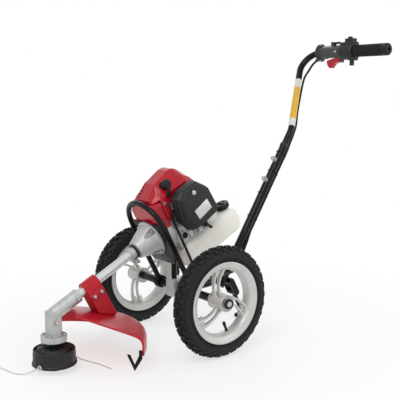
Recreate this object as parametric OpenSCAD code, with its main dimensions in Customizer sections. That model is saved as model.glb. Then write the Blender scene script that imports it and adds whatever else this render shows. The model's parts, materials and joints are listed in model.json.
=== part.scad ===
// Wheeled string trimmer. Two cast wheels carry a hoop frame that leans forward with the engine.
// A straight drive tube runs forward and down to a bevel gear case and a bump-feed line head.
// A bolted stem rises to a one-sided handlebar with the throttle.
// X points to the operator's left, Y to the rear, Z up. The origin is on the ground, under the
// middle of the machine. Places are worked out from the axle and moved by part_y at the end.
// On the shaft's own frame, Y runs up the drive shaft from the gear crossing and Z is square to it.

/* [Wheels] */
// Outer diameter of the tyres
tyre_d = 316; // [300:1:330]
// Width of the tyres
tyre_w = 54; // [52:1:60]
// Distance between the middles of the tyres
track = 408; // [380:1:460]
// Diameter over the rim's lips
rim_d = 231; // [226:1:236]
// Width over the rim's lips
rim_w = 49; // [47:1:52]
// Inner diameter of the rim's band
band_d = 182; // [160:1:190]
// Diameter of the wheel hubs
hub_d = 54; // [50:1:64]
// Length of the wheel hubs
hub_len = 60; // [50:1:70]
// Width of one swirl arm
arm_w = 9; // [6:0.5:12]
// Thickness of the swirl arms
arm_t = 14; // [8:1:24]
// Bow radius of the swirl arms
arm_bow = 78; // [60:1:120]
// Diameter of the axle in the bearings
axle_d = 20; // [16:1:22]
// Diameter of the axle between the wheels
axle_mid_d = 24; // [23:1:28]
// Outer diameter of a wheel bearing
bearing_d = 42; // [36:1:44]
// Width of a wheel bearing
bearing_w = 12; // [8:1:16]

/* [Drive line] */
// Tilt of the drive shaft above level, degrees
shaft_tilt = 27.5; // [26:0.5:29]
// Distance from the axle forward to the head's spindle
head_reach = 409; // [400:1:420]
// Height at which the shaft and the spindle cross
cross_z = 151; // [149:1:156]
// Outer diameter of the drive tube
tube_d = 26; // [24:1:28]
// Wall of the drive tube
tube_wall = 2; // [1.5:0.1:3]
// Diameter of the drive shaft
drive_d = 8; // [6:0.5:9]
// Diameter of the clutch housing's flange
flange_d = 110; // [104:1:114]
// Length of the clutch housing's cone
cone_len = 60; // [56:1:66]
// Outer diameter of the clutch drum
drum_d = 62; // [56:1:64]
// Outer diameter of the gear case
case_d = 36; // [35:1:40]

/* [Hoop frame] */
// Radius of the hoop's arch
hoop_r = 84; // [80:1:90]
// Diameter of the hoop's tube
hoop_d = 16; // [14:1:20]
// Height of the arch's centre above the shaft
hoop_rise = 32; // [26:1:40]
// Thickness of the engine plate
plate_t = 5; // [4:0.5:6]
// Depth of the engine plate below the shaft
plate_drop = 86; // [80:1:92]
// Diameter of the engine post
post_d = 16; // [12:1:18]
// Diameter of the spine tube
spine_d = 25; // [20:1:26]

/* [Engine] */
// Length of the fan shroud along the shaft
shroud_len = 38; // [36:1:40]
// Radius of the fan shroud
shroud_r = 64; // [60:1:66]
// Length of the crankcase along the shaft
crank_len = 94; // [92:1:98]
// Depth of the crankcase's foot below the shaft
crank_drop = 60; // [56:1:62]
// Diameter of the crankshaft in its bearings
crank_d = 12; // [10:0.5:14]
// Bore of the cylinder
bore_d = 40; // [36:1:42]
// Diameter over the cooling fins
fin_d = 76; // [70:1:78]
// Half width of the top cowl
cowl_x = 58; // [56:1:60]
// Wall of the cowl, the shroud and the filter cover
shell_wall = 3; // [2:0.5:3.5]
// Diameter of the starter case
starter_d = 110; // [104:1:112]
// Length of the starter case
starter_len = 46; // [44:1:52]
// Length of the fuel tank
tank_len = 238; // [225:1:245]
// Height of the fuel tank
tank_h = 78; // [70:1:84]
// Half width of the fuel tank
tank_x = 58; // [50:1:62]
// Wall of the fuel tank
tank_wall = 2.5; // [2:0.5:4]
// Diameter of the tank's cap
cap_d = 44; // [40:1:50]
// Thickness of the filter cover outwards
filter_t = 32; // [28:1:40]

/* [Line head] */
// Radius of the drum's flared rim
head_r = 60; // [56:1:66]
// Height of the drum's top above the ground
head_top = 64; // [62:1:66]
// Radius of the bump knob
knob_r = 26; // [20:1:30]
// Travel of the bump knob
knob_travel = 6; // [4:0.5:6]
// Diameter of the spindle
spindle_d = 10; // [8:0.5:12]
// Diameter of the trimmer line
line_d = 3; // [2.4:0.1:3.2]

/* [Guard] */
// Outer radius of the guard about the spindle
guard_r = 247; // [235:1:252]
// Inner radius of the guard about the spindle
guard_in_r = 64; // [60:1:72]
// Height of the guard's inner edge above the ground
guard_top = 150; // [146:1:154]
// Height of the guard's outer edge above the ground
guard_edge = 103; // [98:1:108]
// Depth of the guard's rim below its outer edge
guard_rim = 49; // [40:1:52]
// Wall of the guard
guard_wall = 3; // [2.5:0.5:5]
// Angle at which the guard starts, from the operator's left
guard_start = 40; // [36:1:44]
// Angle that the guard covers
guard_sweep = 113; // [100:1:118]

/* [Handle] */
// Lean of the stem above level, degrees
stem_lean = 57.4; // [56:0.1:59]
// Outer diameter of the stem
stem_d = 25.4; // [24:0.1:28]
// Wall of the stem
stem_wall = 1.6; // [1.2:0.1:1.6]
// Length of the stem
stem_len = 515; // [490:5:530]
// Outer diameter of the handle tube
bar_d = 22; // [20:0.1:22]
// Wall of the handle tube
bar_wall = 2; // [1.5:0.1:3]
// Distance of the handlebar behind the axle
bar_y = 657; // [650:1:664]
// Height of the handlebar above the ground
bar_z = 868; // [860:1:880]
// Bend radius of the handle tube
bend_r = 56; // [50:1:57]
// Diameter of the throttle casing
casing_d = 42; // [40:1:44]
// Length of the throttle casing
casing_len = 98; // [96:1:104]
// Diameter of the left grip
grip_d = 38; // [34:1:40]
// Length of the left grip
grip_len = 133; // [120:1:138]

/* [Hidden] */
$fn = 48;

// Clearances: round pieces that turn, pieces that stay put, faces that pass each other, cut overrun
run_gap = 0.05;
fit_gap = 0.1;
face_gap = 0.3;
over = 1;

// Place of the whole machine along Y, so that the origin is under its middle
part_y = -109;

// Wheel values
tyre_r = tyre_d / 2;
axle_z = tyre_r;
rim_r = rim_d / 2;
lip_h = 7;
lip_t = 2.5;
lip_gap = 0.3;
seat_t = 7;
web_w = 30;
seat_r = rim_r - lip_h;
lip_in = rim_w / 2 - lip_t;
band_r = band_d / 2;
hub_r = hub_d / 2;
hub_bore_gap = 5;
arm_sink = 2;
arm_count = 3;
arm_first = 235;
arm_hub_spread = 22;
arm_rim_spread = 8;
arm_sweep = -34;
hub_side_gap = 0.5;
mid_half = track / 2 - hub_len / 2 - hub_side_gap;
axle_half = track / 2 + hub_len / 2;

// Bolt values: shank, head across flats, head height, washer
bolt_d = 6;
bolt_af = 10;
bolt_head = 4.5;
end_bolt_d = 10;
end_bolt_len = 24;
end_bolt_af = 17;
end_bolt_head = 7;
end_washer_d = 32;
end_washer_t = 2;
stem_bolt_d = 8;
stem_bolt_af = 13;
stem_bolt_head = 5.5;
stem_bolt_gap = 0.2;

// Axle in the shaft's frame
axle_s = head_reach * cos(shaft_tilt) + (axle_z - cross_z) * sin(shaft_tilt);
axle_h = -head_reach * sin(shaft_tilt) + (axle_z - cross_z) * cos(shaft_tilt);

// Frame values
plate_s0 = axle_s - plate_t / 2;
plate_s1 = axle_s + plate_t / 2;
plate_top = 50;
plate_waist = 20;
plate_foot_x = 50;
plate_hole_d = 40;
eye_wall = 7;
eye_d = axle_mid_d + 2 * eye_wall;
eye_w = 20;
plate_sink = 3;
plate_x = hoop_r - hoop_d / 2 + plate_sink;
clamp_x = 20;
clamp_front = 26;
clamp_rear = 30;
clamp_below = 28;
clamp_above = 28;
clamp_round = 8;
socket_deep = 12;
post_y = -10;
spine_dip_y = 100;
spine_dip = 12;
spine_dip_z = axle_z - spine_dip;
spine_bend = 200;
spine_join = 35;
spine_wall = 2;

// Stem values: its foot in the axle's frame and its direction
stem_foot = [0, 168, 130];
stem_dir = [0, cos(stem_lean), sin(stem_lean)];
stem_back = [0, sin(stem_lean), -cos(stem_lean)];
splice_len = 180;
stem_bolt_at = [376, 451];
pivot_up = 30;
pivot_back = 22;
pivot_at = stem_foot + stem_dir * pivot_up + stem_back * pivot_back;
pivot_eye_d = 22;
pivot_eye_x = 14;
pivot_web_d = 14;

// Stand values
stand_angle = 28.4;
stand_pin_d = 10;
stand_cheek_t = 5;
stand_cheek_w = 20;
stand_cheek_len = 44;
stand_leg_d = 14;
stand_foot_d = 16;
stand_foot_x = 45;
stand_flat = 2;
stand_len = (pivot_at[2] - stand_foot_d / 2 + stand_flat) / cos(stand_angle);

// Handlebar values, along X from the machine's middle
kink_up = 569.5;
elbow_x = -128;
casing_x0 = -42;
casing_x1 = casing_x0 + casing_len;
casing_flange_d = 60;
casing_flange_t = 4;
housing_len = 55;
housing_x1 = casing_x1 + housing_len;
housing_y = 17;
housing_low = 24;
housing_high = 30;
hump_from = 18;
hump_to = 50;
hump_x0 = casing_x1 + hump_from;
hump_x1 = casing_x1 + hump_to;
hump_y = 12;
hump_high = 42;
tail_from = 34;
tail_to = 47;
tail_x0 = casing_x1 + tail_from;
tail_x1 = casing_x1 + tail_to;
tail_y = 5;
tail_low = 47;
grip_gap = 1;
grip_x0 = housing_x1 + grip_gap;
grip_x1 = grip_x0 + grip_len;
grip_end_t = 6;
grip_rib_h = 1;
grip_rib_d = grip_d + 2 * grip_rib_h;
grip_rib_w = 4;
grip_rib_count = 10;
grip_hole_d = 12;
lug_gap = 0.5;
lug_t = 3.5;
trigger_inset = 8.5;
trigger_x = casing_x1 - trigger_inset;
trigger_z = -28;
trigger_pin_d = 5;
trigger_t = 10;
trigger_boss_d = 12;
trigger_lug_x = 8;
trigger_lug_low = 36;
trigger_len = 54;
trigger_shares = [[0, 0.09], [0, -0.11], [-0.26, -0.13], [-0.556, -0.26], [-0.778, -0.37],
                  [-0.907, -0.333], [-1, -0.222], [-0.98, -0.167], [-0.37, 0.009]];
lock_along = 58;
lock_rise = 7;
lock_x = casing_x0 + lock_along;
lock_z = casing_d / 2 + lock_rise;
lock_pin_d = 4;
lock_t = 8;
lock_boss_d = 9;
lock_lug_x = 6;
lock_lug_top = 6;
lock_len = 30;
lock_shares = [[0, 0.15], [0, -0.1], [0.95, -0.03], [1, 0.12], [0.85, 0.2]];
switch_len = 12;
switch_y = 5;
switch_h = 5;
switch_travel = 5;

// Drive values along the shaft
neck_s = 86;
neck_d = 38;
tube_s0 = 60;
neck_len = 24;
neck_wall = 4;
housing_neck_d = tube_d + 2 * neck_wall;
flange_t = 7;
cone_s0 = plate_s0 - cone_len - flange_t;
tube_sink = 8;
tube_s1 = cone_s0 + tube_sink;
housing_neck_s = cone_s0 - neck_len;
ring_w = 16;
ring_wall = 5;
ring_gap = 2;
ring_s1 = cone_s0 - ring_gap;
cone_step = 9;
cone_small_d = housing_neck_d + 2 * cone_step;
drum_room = 2.5;
cone_cavity_d = drum_d + 2 * drum_room;
cavity_deep = 35;
cone_cavity_s = plate_s0 - cavity_deep;
drum_gap = 3;
drum_s0 = cone_cavity_s + drum_gap;
drum_plate_t = 4;
drum_wall = 2.5;
drum_end_gap = 4;
drum_s1 = plate_s0 - drum_end_gap;
drum_boss_len = 8;
shoe_gap = 6;
shoe_front_gap = 3;
shoe_s0 = drum_s0 + drum_boss_len + shoe_front_gap;
shoe_inset = 1;
shoe_s1 = drum_s1 - shoe_inset;
shoe_count = 3;
shoe_slot_w = 4;
flange_bolt_inset = 8;
flange_bolt_r = flange_d / 2 - flange_bolt_inset;
flange_bolt_angles = [45, 135, 225, 315];

// Gear values: cone angles of the bevel pair about their common point
pinion_teeth = 15;
wheel_teeth = 19;
gear_angle = 90 + shaft_tilt;
gear_slack = 1;
pinion_cone = atan2(sin(gear_angle), wheel_teeth / pinion_teeth + cos(gear_angle));
wheel_cone = gear_angle - pinion_cone;
gear_far = 14;
gear_near = 8;
tooth_w = 1.1;
tooth_h = 1.6;
pinion_back = 7;
wheel_back = 7;
gear_room_d = 29;
gear_room_low = 17;
gear_room_high = 5;
pinion_room_d = 24;
case_top = 10;
case_round = 6;
case_flange_d = 70;
case_lift = 15;
case_flange_low = head_top + case_lift;
case_flange_t = 16;

// Head values above the ground
head_wall = 3;
head_top_t = 4;
head_low = 12;
head_flare_h = 8;
head_flare = 4;
head_shoulder = 10;
head_shoulder_h = 13;
head_waist_r = head_r - head_flare;
head_neck_r = head_r - head_shoulder;
head_boss_wall = 8;
head_boss_d = spindle_d + 2 * head_boss_wall;
head_boss_h = 12;
spool_low = 18;
spool_flange_t = 3;
spool_gap = 1.5;
spool_core_r = 36;
knob_stem_d = 22;
knob_disc_h = 11;
knob_stem_h = 19;
knob_round = 4;
spring_r = 9;
spring_wall = 2;
spring_free = 1;
line_z = 22;

// Line routes about the spindle: the rear line, and the front line half a turn on
line_route = [[-22, 52, 22], [-20, 60, 20], [-14, 69, 15], [-4, 80, 8], [10, 91, 4], [26, 99, 2.5],
              [44, 105, 2.5], [63, 109, 2.5], [82, 112, 2.5], [101, 114, 2.5]];
line_sides = 8;
line_steps = 2;

// Throttle cable: places from the bar, beside the handle tube, behind the stem, then down to the engine
// Beside the handle tube: share of the way up to the elbow, then sideways and rearwards of it
// Behind the stem: distance up the stem, then backwards and sideways of it
// In front of the engine: sideways, along the shaft and up from it
cable_d = 6;
cable_from_bar = [[-42.8, 0, -24], [-54, 0, -24], [-78, 2, -37], [-94, -3, -60]];
cable_tube_shares = [0.66, 0.45, 0.22, 0.02];
cable_tube_off = [[-6, 36, 0], [-6, 30, 0], [-4, 24, 0], [-1, 20, 0]];
cable_stem = [[513, 18, 0], [453, 18, 0], [393, 18, 0], [333, 18, 0], [273, 18, 0], [213, 18, 1],
              [163, 19, 9]];
cable_free = [[34, 222, 212], [52, 192, 192], [62, 138, 185], [67, 86, 187], [68, 46, 199]];
cable_rise = [[68, 412, -128], [68, 411, -62], [68, 411, 0], [67, 412, 34]];
cable_x = 63;
cable_end_h = 60;
cable_lead = 8;
cable_sides = 10;
cable_steps = 3;
cable_side_dir = [0.4, 1, -0.7];

// Bent tubes: sides round, degrees of turn in one step, and a direction no tube runs along
bend_sides = 24;
bend_step = 7;
bend_side_dir = [0.3, -0.6, 0.9];

// Guard and bracket values
guard_lip_t = 4;
bracket_s0 = 104;
bracket_s1 = 152;
bracket_x = 23;
bracket_wall = 8;
bracket_roof = tube_d / 2 + bracket_wall;
bracket_floor = 110;
bracket_bolt_inset = 12;
bracket_bolt_s = [bracket_s0 + bracket_bolt_inset, bracket_s1 - bracket_bolt_inset];
bracket_bolt_gap = 9;
bracket_bolt_drop = tube_d / 2 + bracket_bolt_gap;
cutter_t = 3;
cutter_in = 42;
cutter_deep = 44;
cutter_tab = 14;
cutter_arm = 9;

// Engine values along the shaft
shroud_s1 = plate_s1 + shroud_len;
shroud_x = 56;
shroud_top = 106;
shroud_round = 16;
shroud_hole_d = 44;
corner_deep = hoop_d / 2 - plate_t / 2 + face_gap;
crank_s1 = shroud_s1 + crank_len;
crank_r = 50;
crank_x = 46;
deck_h = 44;
deck_x = 34;
web_room_d = 68;
web_from = 17;
web_to = 63;
web_s0 = shroud_s1 + web_from;
web_s1 = shroud_s1 + web_to;
web_d = 58;
web_t = 9;
web_gap = 2;
pin_offset = 18;
crank_pin_d = 13;
cyl_s = (web_s0 + web_s1) / 2;
barrel_wall = 8;
barrel_d = bore_d + 2 * barrel_wall;
barrel_top = 108;
dome_d = 50;
dome_top = 124;
bore_top = 112;
fin_t = 2.5;
fin_count = 5;
fin_h0 = 78;
fin_step = 7;
piston_low = 74;
piston_h = 30;
piston_wall = 3;
port_h = 60;
port_d = 24;
fly_gap = 8;
fly_s0 = plate_s1 + fly_gap;
fly_t = 22;
fly_d = 104;
fly_hub_d = 34;
fly_disc_t = 8;
vane_count = 12;
vane_t = 3;
vane_in_r = 26;
crank_s0 = shoe_s0;
crank_end_gap = 8;
crank_end = crank_s1 + starter_len - crank_end_gap;

// Cowl outline along the shaft and up
cowl_hoop_gap = 8;
cowl_front = hoop_d / 2 - plate_t / 2 + cowl_hoop_gap;
cowl_s0 = plate_s1 + cowl_front;
cowl_gap = 0.5;
cowl_low = 36;
cowl_rear_gap = 5;
cowl_rear_low = starter_d / 2 + cowl_rear_gap;
cowl_along = [61, 117, 146, 170];
cowl_tops = [116, 143, 153, 144, 112];
cowl_front_x = 44;
cowl_cheek = 28;
cowl_brow_x = 72;
cowl_brow_h = 91;
cowl_edge_x = 44;
cowl_edge_h = 130;
cowl_crown_x = 20;
cowl_crown_h = 154;
cowl_points = [[cowl_s0, shroud_top + cowl_gap], [cowl_s0, cowl_tops[0]],
               [axle_s + cowl_along[0], cowl_tops[1]], [axle_s + cowl_along[1], cowl_tops[2]],
               [axle_s + cowl_along[2], cowl_tops[3]], [axle_s + cowl_along[3], cowl_tops[4]],
               [axle_s + cowl_along[3], cowl_rear_low],
               [crank_s1 + cowl_gap, cowl_rear_low], [crank_s1 + cowl_gap, cowl_low],
               [shroud_s1 + cowl_gap, cowl_low], [shroud_s1 + cowl_gap, shroud_top + cowl_gap]];
cowl_window = 46;
cowl_window_low = 38;
cowl_window_high = 84;

// Plug values along its own axis
plug_lean = 62;
plug_from = [8, cyl_s, 112];
plug_thread_d = 14;
plug_thread_len = 18;
plug_hex_af = 19;
plug_hex_len = 10;
plug_tip_d = 11;
plug_tip_len = 17;
boot_d = 21;
boot_gap = 2;
boot_len = 34;
boot_room = 3;
boot_window_d = boot_d + 2 * boot_room;

// Carburettor, muffler and filter values
carb_x0 = 40;
carb_x1 = 72;
carb_half = 15;
carb_low = 46;
carb_high = 80;
muffler_x0 = 62;
muffler_x1 = 98;
muffler_half = 28;
muffler_low = 30;
muffler_high = 94;
muffler_round = 9;
muffler_pipe_d = 14;
muffler_pipe_len = 10;
filter_plate_t = 8;
filter_x0 = carb_x1 + filter_plate_t;
filter_x1 = filter_x0 + filter_t;
filter_along = 52;
filter_s = axle_s + filter_along;
filter_w = 128;
filter_h0 = -16;
filter_hh = 128;
filter_shares = [[0, 0.36], [0.16, 0.03], [0.36, 0], [0.93, 0.06], [1, 0.16], [0.95, 0.74],
                 [0.74, 1], [0.26, 1], [0.08, 0.9]];
element_inset = 18;
element_t = 16;
choke_along = 82;
choke_drop = 16;
choke_s = filter_s + choke_along;
choke_h = filter_h0 - choke_drop;
choke_rest = -60;
choke_pin_d = 6;
choke_tab_d = 16;
choke_arm = 19;
choke_arm_w = 8;
choke_t = 5;
primer_along = 30;
primer_s = shroud_s1 + primer_along;
primer_h = -34;
primer_d = 18;
primer_ring_d = 26;
primer_ring_t = 5;
primer_deep = 6;
primer_out = 6;
primer_travel = 4;

// Starter and tank values
starter_s0 = crank_s1;
starter_s1 = starter_s0 + starter_len;
starter_wall = 4;
guide_x = 40;
guide_h = 5;
guide_d = 16;
guide_len = 10;
rope_d = 5;
pull_stem_d = 9;
pull_stem_len = 10;
pull_grip_d = 15;
pull_grip_half = 19;
tank_along = 36;
tank_s0 = axle_s + tank_along;
tank_round = 18;
notch_gap = 6;
notch_x = post_d / 2 + notch_gap;
notch_y = post_y + post_d / 2 + notch_gap;
neck_x = 20;
neck_back = 26;
tank_neck_d = 33;
tank_neck_h = 9;
cap_h = 16;
cap_skirt = 7;

// Helpers: directions, arcs and bent round bars
function unit(v) = v / norm(v);
function turn_at(p, i) = acos(min(1, unit(p[i] - p[i - 1]) * unit(p[i + 1] - p[i])));
function setback(p, i, r) = i == 0 || i == len(p) - 1 ? 0 : r * tan(turn_at(p, i) / 2);
function arc_centre(a, b, r) =
    let (d = b - a, rise = sqrt(r * r - d * d / 4))
    (a + b) / 2 + [-d[1], d[0]] / norm(d) * rise;
function in_axle_frame(s, h) = [0, -head_reach + s * cos(shaft_tilt) - h * sin(shaft_tilt),
                                cross_z + s * sin(shaft_tilt) + h * cos(shaft_tilt)];

// A line of points with each corner rounded to a radius, in equal steps of turn
function bent_path(p, r) = concat([p[0]],
    [for (i = [1 : len(p) - 2])
        let (u = unit(p[i] - p[i - 1]), v = unit(p[i + 1] - p[i]), n = unit(v - u * (u * v)),
             c = p[i] - u * setback(p, i, r) + n * r, steps = ceil(turn_at(p, i) / bend_step))
            for (k = [0 : steps])
                let (a = turn_at(p, i) * k / steps) c - n * r * cos(a) + u * r * sin(a)],
    [p[len(p) - 1]]);

// A smooth curve through hand-chosen points, with some steps between each two
function curve_point(a, b, c, d, t) =
    0.5 * (2 * b + (c - a) * t + (2 * a - 5 * b + 4 * c - d) * t * t
           + (3 * b - a - 3 * c + d) * t * t * t);
function smooth(p, steps) = [
    for (i = [0 : len(p) - 2], k = [0 : steps - 1])
        curve_point(p[max(0, i - 1)], p[i], p[i + 1], p[min(len(p) - 1, i + 2)], k / steps),
    p[len(p) - 1]];

module at_part() translate([0, part_y, 0]) children();
module on_shaft() at_part() translate([0, -head_reach, cross_z]) rotate([shaft_tilt, 0, 0]) children();
module on_spindle() at_part() translate([0, -head_reach, 0]) children();
module on_bar() at_part() translate([0, bar_y, bar_z]) children();
module on_wheel(side) {
    at_part() translate([side * track / 2, 0, axle_z])
        rotate([0, 90 * side, 0]) children();
}
module aim(v) rotate([0, acos(v[2] / norm(v)), atan2(v[1], v[0])]) children();

// Round bars along X, along Y and upwards
module bar_x(x0, x1, d) translate([x0, 0, 0]) rotate([0, 90, 0]) cylinder(h = x1 - x0, d = d);
module bar_s(s0, s1, d) translate([0, s0, 0]) rotate([-90, 0, 0]) cylinder(h = s1 - s0, d = d);
module bar_up(z0, z1, d) translate([0, 0, z0]) cylinder(h = z1 - z0, d = d);
module cone_s(s0, s1, d0, d1) {
    translate([0, s0, 0]) rotate([-90, 0, 0]) cylinder(h = s1 - s0, d1 = d0, d2 = d1);
}
module box(low, high) translate(low) cube(high - low);

// A flat outline of X and up, made thick along the shaft
module thick_s(s0, s1) translate([0, s1, 0]) rotate([90, 0, 0]) linear_extrude(s1 - s0) children();

// A flat outline of along and up, made thick along X
module thick_x(x0, x1) translate([x0, 0, 0]) rotate([90, 0, 90]) linear_extrude(x1 - x0) children();

module pipe(len, d, wall) {
    difference() {
        cylinder(h = len, d = d);
        if (wall > 0) translate([0, 0, -over]) cylinder(h = len + 2 * over, d = d - 2 * wall);
    }
}
module pipe_section(d, wall) {
    difference() {
        circle(d = d);
        if (wall > 0) circle(d = d - 2 * wall);
    }
}
module rod(a, b, d, wall = 0) translate(a) aim(b - a) pipe(norm(b - a), d, wall);
// Rings of points round a route
function rings_on(p, d, sides, side_dir) = [
    for (i = [0 : len(p) - 1])
        let (t = unit(p[min(len(p) - 1, i + 1)] - p[max(0, i - 1)]),
             a = unit(cross(t, side_dir)), b = cross(a, t))
            for (k = [0 : sides - 1])
                p[i] + (a * cos(360 * k / sides) + b * sin(360 * k / sides)) * d / 2];
function ring_walls(n, sides) = [
    for (i = [0 : n - 2], k = [0 : sides - 1])
        let (q = i * sides, m = (k + 1) % sides)
            each [[q + k, q + sides + m, q + m], [q + k, q + sides + k, q + sides + m]]];

// A closed tube of few sides along a route, with flat ends
module cord(p, d, sides, side_dir) {
    q = (len(p) - 1) * sides;
    first = [for (k = [1 : sides - 2]) [0, k, k + 1]];
    last = [for (k = [1 : sides - 2]) [q, q + k + 1, q + k]];
    polyhedron(rings_on(p, d, sides, side_dir), concat(ring_walls(len(p), sides), first, last));
}

// A hollow tube along a line of points with rounded corners
module bent_tube(p, r, d, wall) {
    path = bent_path(p, r);
    n = len(path);
    q = n * bend_sides;
    last = q - bend_sides;
    inner = [for (f = ring_walls(n, bend_sides)) [f[0] + q, f[2] + q, f[1] + q]];
    ends = [for (k = [0 : bend_sides - 1])
        let (m = (k + 1) % bend_sides)
            each [[k, m, q + m], [k, q + m, q + k],
                  [last + k, q + last + m, last + m], [last + k, q + last + k, q + last + m]]];
    polyhedron(concat(rings_on(path, d, bend_sides, bend_side_dir),
                      rings_on(path, d - 2 * wall, bend_sides, bend_side_dir)),
               concat(ring_walls(n, bend_sides), inner, ends));
}
module round_rect(w, h, r) {
    translate([r, 0]) square([w - 2 * r, h]);
    translate([0, r]) square([w, h - 2 * r]);
    for (x = [r, w - r], y = [r, h - r]) translate([x, y]) circle(r = r);
}
module link(len, w) {
    circle(d = w);
    translate([len, 0]) circle(d = w);
    translate([0, -w / 2]) square([len, w]);
}
// A hexagon bolt from its head's seat: the shank goes down, the head stands up
module bolt(d, shank, af, head) {
    translate([0, 0, -shank]) cylinder(h = shank, d = d);
    cylinder(h = head, d = af / cos(30), $fn = 6);
}
module bolt_hole(d, shank) {
    translate([0, 0, -shank - over]) cylinder(h = shank + 2 * over, d = d + 2 * fit_gap);
}

// Wheels
module tyre_ring() {
    rotate_extrude() difference() {
        translate([tyre_r - tyre_w / 2, 0]) circle(d = tyre_w);
        translate([0, -tyre_w]) square([seat_r + fit_gap, 2 * tyre_w]);
        for (side = [0, 1]) mirror([0, side])
            translate([0, lip_in - fit_gap]) square([rim_r + lip_gap, tyre_w]);
    }
}
module swirl_arm(spread) {
    at_hub = spread * arm_hub_spread;
    at_rim = arm_sweep + spread * arm_rim_spread;
    a = (hub_r - arm_sink) * [cos(at_hub), sin(at_hub)];
    b = (band_r + arm_sink) * [cos(at_rim), sin(at_rim)];
    far = 2 * band_r;
    intersection() {
        translate(arc_centre(b, a, arm_bow)) difference() {
            circle(r = arm_bow + arm_w / 2);
            circle(r = arm_bow - arm_w / 2);
        }
        difference() {
            circle(r = band_r + arm_sink);
            circle(r = hub_r - arm_sink);
        }
        polygon([[0, 0], far * [cos(at_hub - 2 * arm_sweep), sin(at_hub - 2 * arm_sweep)],
                 far * [cos(at_hub), sin(at_hub)],
                 far * [cos(at_rim + arm_sweep), sin(at_rim + arm_sweep)]]);
    }
}
module wheel_rim() {
    pocket = hub_len / 2 - bearing_w;
    difference() {
        union() {
            rotate_extrude() {
                translate([seat_r - seat_t, -rim_w / 2]) square([seat_t, rim_w]);
                for (side = [0, 1]) mirror([0, side])
                    translate([seat_r - seat_t, lip_in]) square([lip_h + seat_t, lip_t]);
                translate([band_r, -web_w / 2]) square([seat_r - band_r, web_w]);
            }
            linear_extrude(arm_t, center = true)
                for (k = [0 : arm_count - 1], spread = [-1, 1])
                    rotate(arm_first + 360 * k / arm_count) swirl_arm(spread);
            cylinder(h = hub_len, d = hub_d, center = true);
        }
        cylinder(h = hub_len + 2 * over, d = axle_d + 2 * hub_bore_gap, center = true);
        for (side = [0, 1]) mirror([0, 0, side])
            translate([0, 0, pocket]) cylinder(h = bearing_w + over, d = bearing_d + 2 * fit_gap);
    }
}
module bearing_pair() {
    for (side = [0, 1]) mirror([0, 0, side]) translate([0, 0, hub_len / 2 - bearing_w]) difference() {
        cylinder(h = bearing_w, d = bearing_d);
        translate([0, 0, -over]) cylinder(h = bearing_w + 2 * over, d = axle_d + 2 * run_gap);
    }
}
module left_tyre() color("dimgray") on_wheel(1) tyre_ring();
module right_tyre() color("dimgray") on_wheel(-1) tyre_ring();
module left_rim() color("silver") on_wheel(1) wheel_rim();
module right_rim() color("silver") on_wheel(-1) wheel_rim();
module left_bearings() color("lightsteelblue") on_wheel(1) bearing_pair();
module right_bearings() color("lightsteelblue") on_wheel(-1) bearing_pair();

// Frame
module axle() color("black") at_part() translate([0, 0, axle_z]) difference() {
    union() {
        bar_x(-axle_half, axle_half, axle_d);
        bar_x(-mid_half, mid_half, axle_mid_d);
    }
    for (side = [0, 1]) mirror([side, 0, 0])
        bar_x(axle_half - end_bolt_len, axle_half + over, end_bolt_d + 2 * fit_gap);
}
module stem_axis(d) rod(stem_foot, stem_foot + stem_dir * stem_len, d);
module axle_clamp() color("silver") at_part() difference() {
    translate([0, -clamp_front, axle_z - clamp_below]) thick_x(-clamp_x, clamp_x)
        round_rect(clamp_front + clamp_rear, clamp_below + clamp_above, clamp_round);
    translate([0, 0, axle_z]) bar_x(-clamp_x - over, clamp_x + over, axle_mid_d + 2 * fit_gap);
    translate([0, post_y, 0])
        bar_up(axle_z + clamp_above - socket_deep, axle_z + clamp_above + over, post_d + 2 * fit_gap);
    rod([0, clamp_rear - socket_deep, axle_z], [0, spine_dip_y, spine_dip_z], spine_d + 2 * fit_gap);
}
module hoop_frame() color("black") on_shaft() {
    difference() {
        union() {
            translate([0, axle_s, hoop_rise]) rotate([90, 0, 0])
                rotate_extrude(angle = 180) translate([hoop_r, 0]) circle(d = hoop_d);
            for (side = [-1, 1]) translate([side * hoop_r, axle_s, 0]) {
                bar_up(axle_h, hoop_rise, hoop_d);
                translate([0, 0, axle_h]) bar_x(-eye_w / 2, eye_w / 2, eye_d);
            }
            thick_s(plate_s0, plate_s1)
                polygon([[-plate_x, plate_top], [plate_x, plate_top], [plate_x, -plate_waist],
                         [plate_foot_x, -plate_drop], [-plate_foot_x, -plate_drop],
                         [-plate_x, -plate_waist]]);
        }
        bar_s(plate_s0 - over, plate_s1 + over, plate_hole_d);
        flange_bolts() bolt_hole(bolt_d, flange_t + plate_t + over);
        translate([0, axle_s, axle_h])
            bar_x(-hoop_r - eye_w, hoop_r + eye_w, axle_mid_d + 2 * fit_gap);
    }
}
module flange_bolts() {
    for (a = flange_bolt_angles)
        rotate([0, a, 0]) translate([flange_bolt_r, plate_s0 - flange_t, 0]) rotate([90, 0, 0]) children();
}
module bracket_bolts() {
    for (s = bracket_bolt_s) translate([bracket_x, s, -bracket_bolt_drop]) rotate([0, 90, 0]) children();
}
module stem_bolts() {
    for (t = stem_bolt_at)
        translate(stem_foot + stem_dir * t - stem_back * (stem_d / 2 + stem_bolt_gap))
            rotate([stem_lean, 0, 0]) children();
}
module engine_post() color("black") difference() {
    at_part() translate([0, post_y, 0])
        bar_up(axle_z + clamp_above - socket_deep, in_axle_frame(crank_s1, 0)[2], post_d);
    on_shaft() box([-crank_x, tube_s1, -crank_drop], [crank_x, crank_s1 + crank_len, crank_r]);
}
module spine_tube() color("black") at_part() difference() {
    bent_tube([[0, clamp_rear - socket_deep, axle_z], [0, spine_dip_y, spine_dip_z],
              stem_foot + stem_dir * spine_join], spine_bend, spine_d, spine_wall);
    stem_axis(stem_d + 2 * fit_gap);
}
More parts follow.
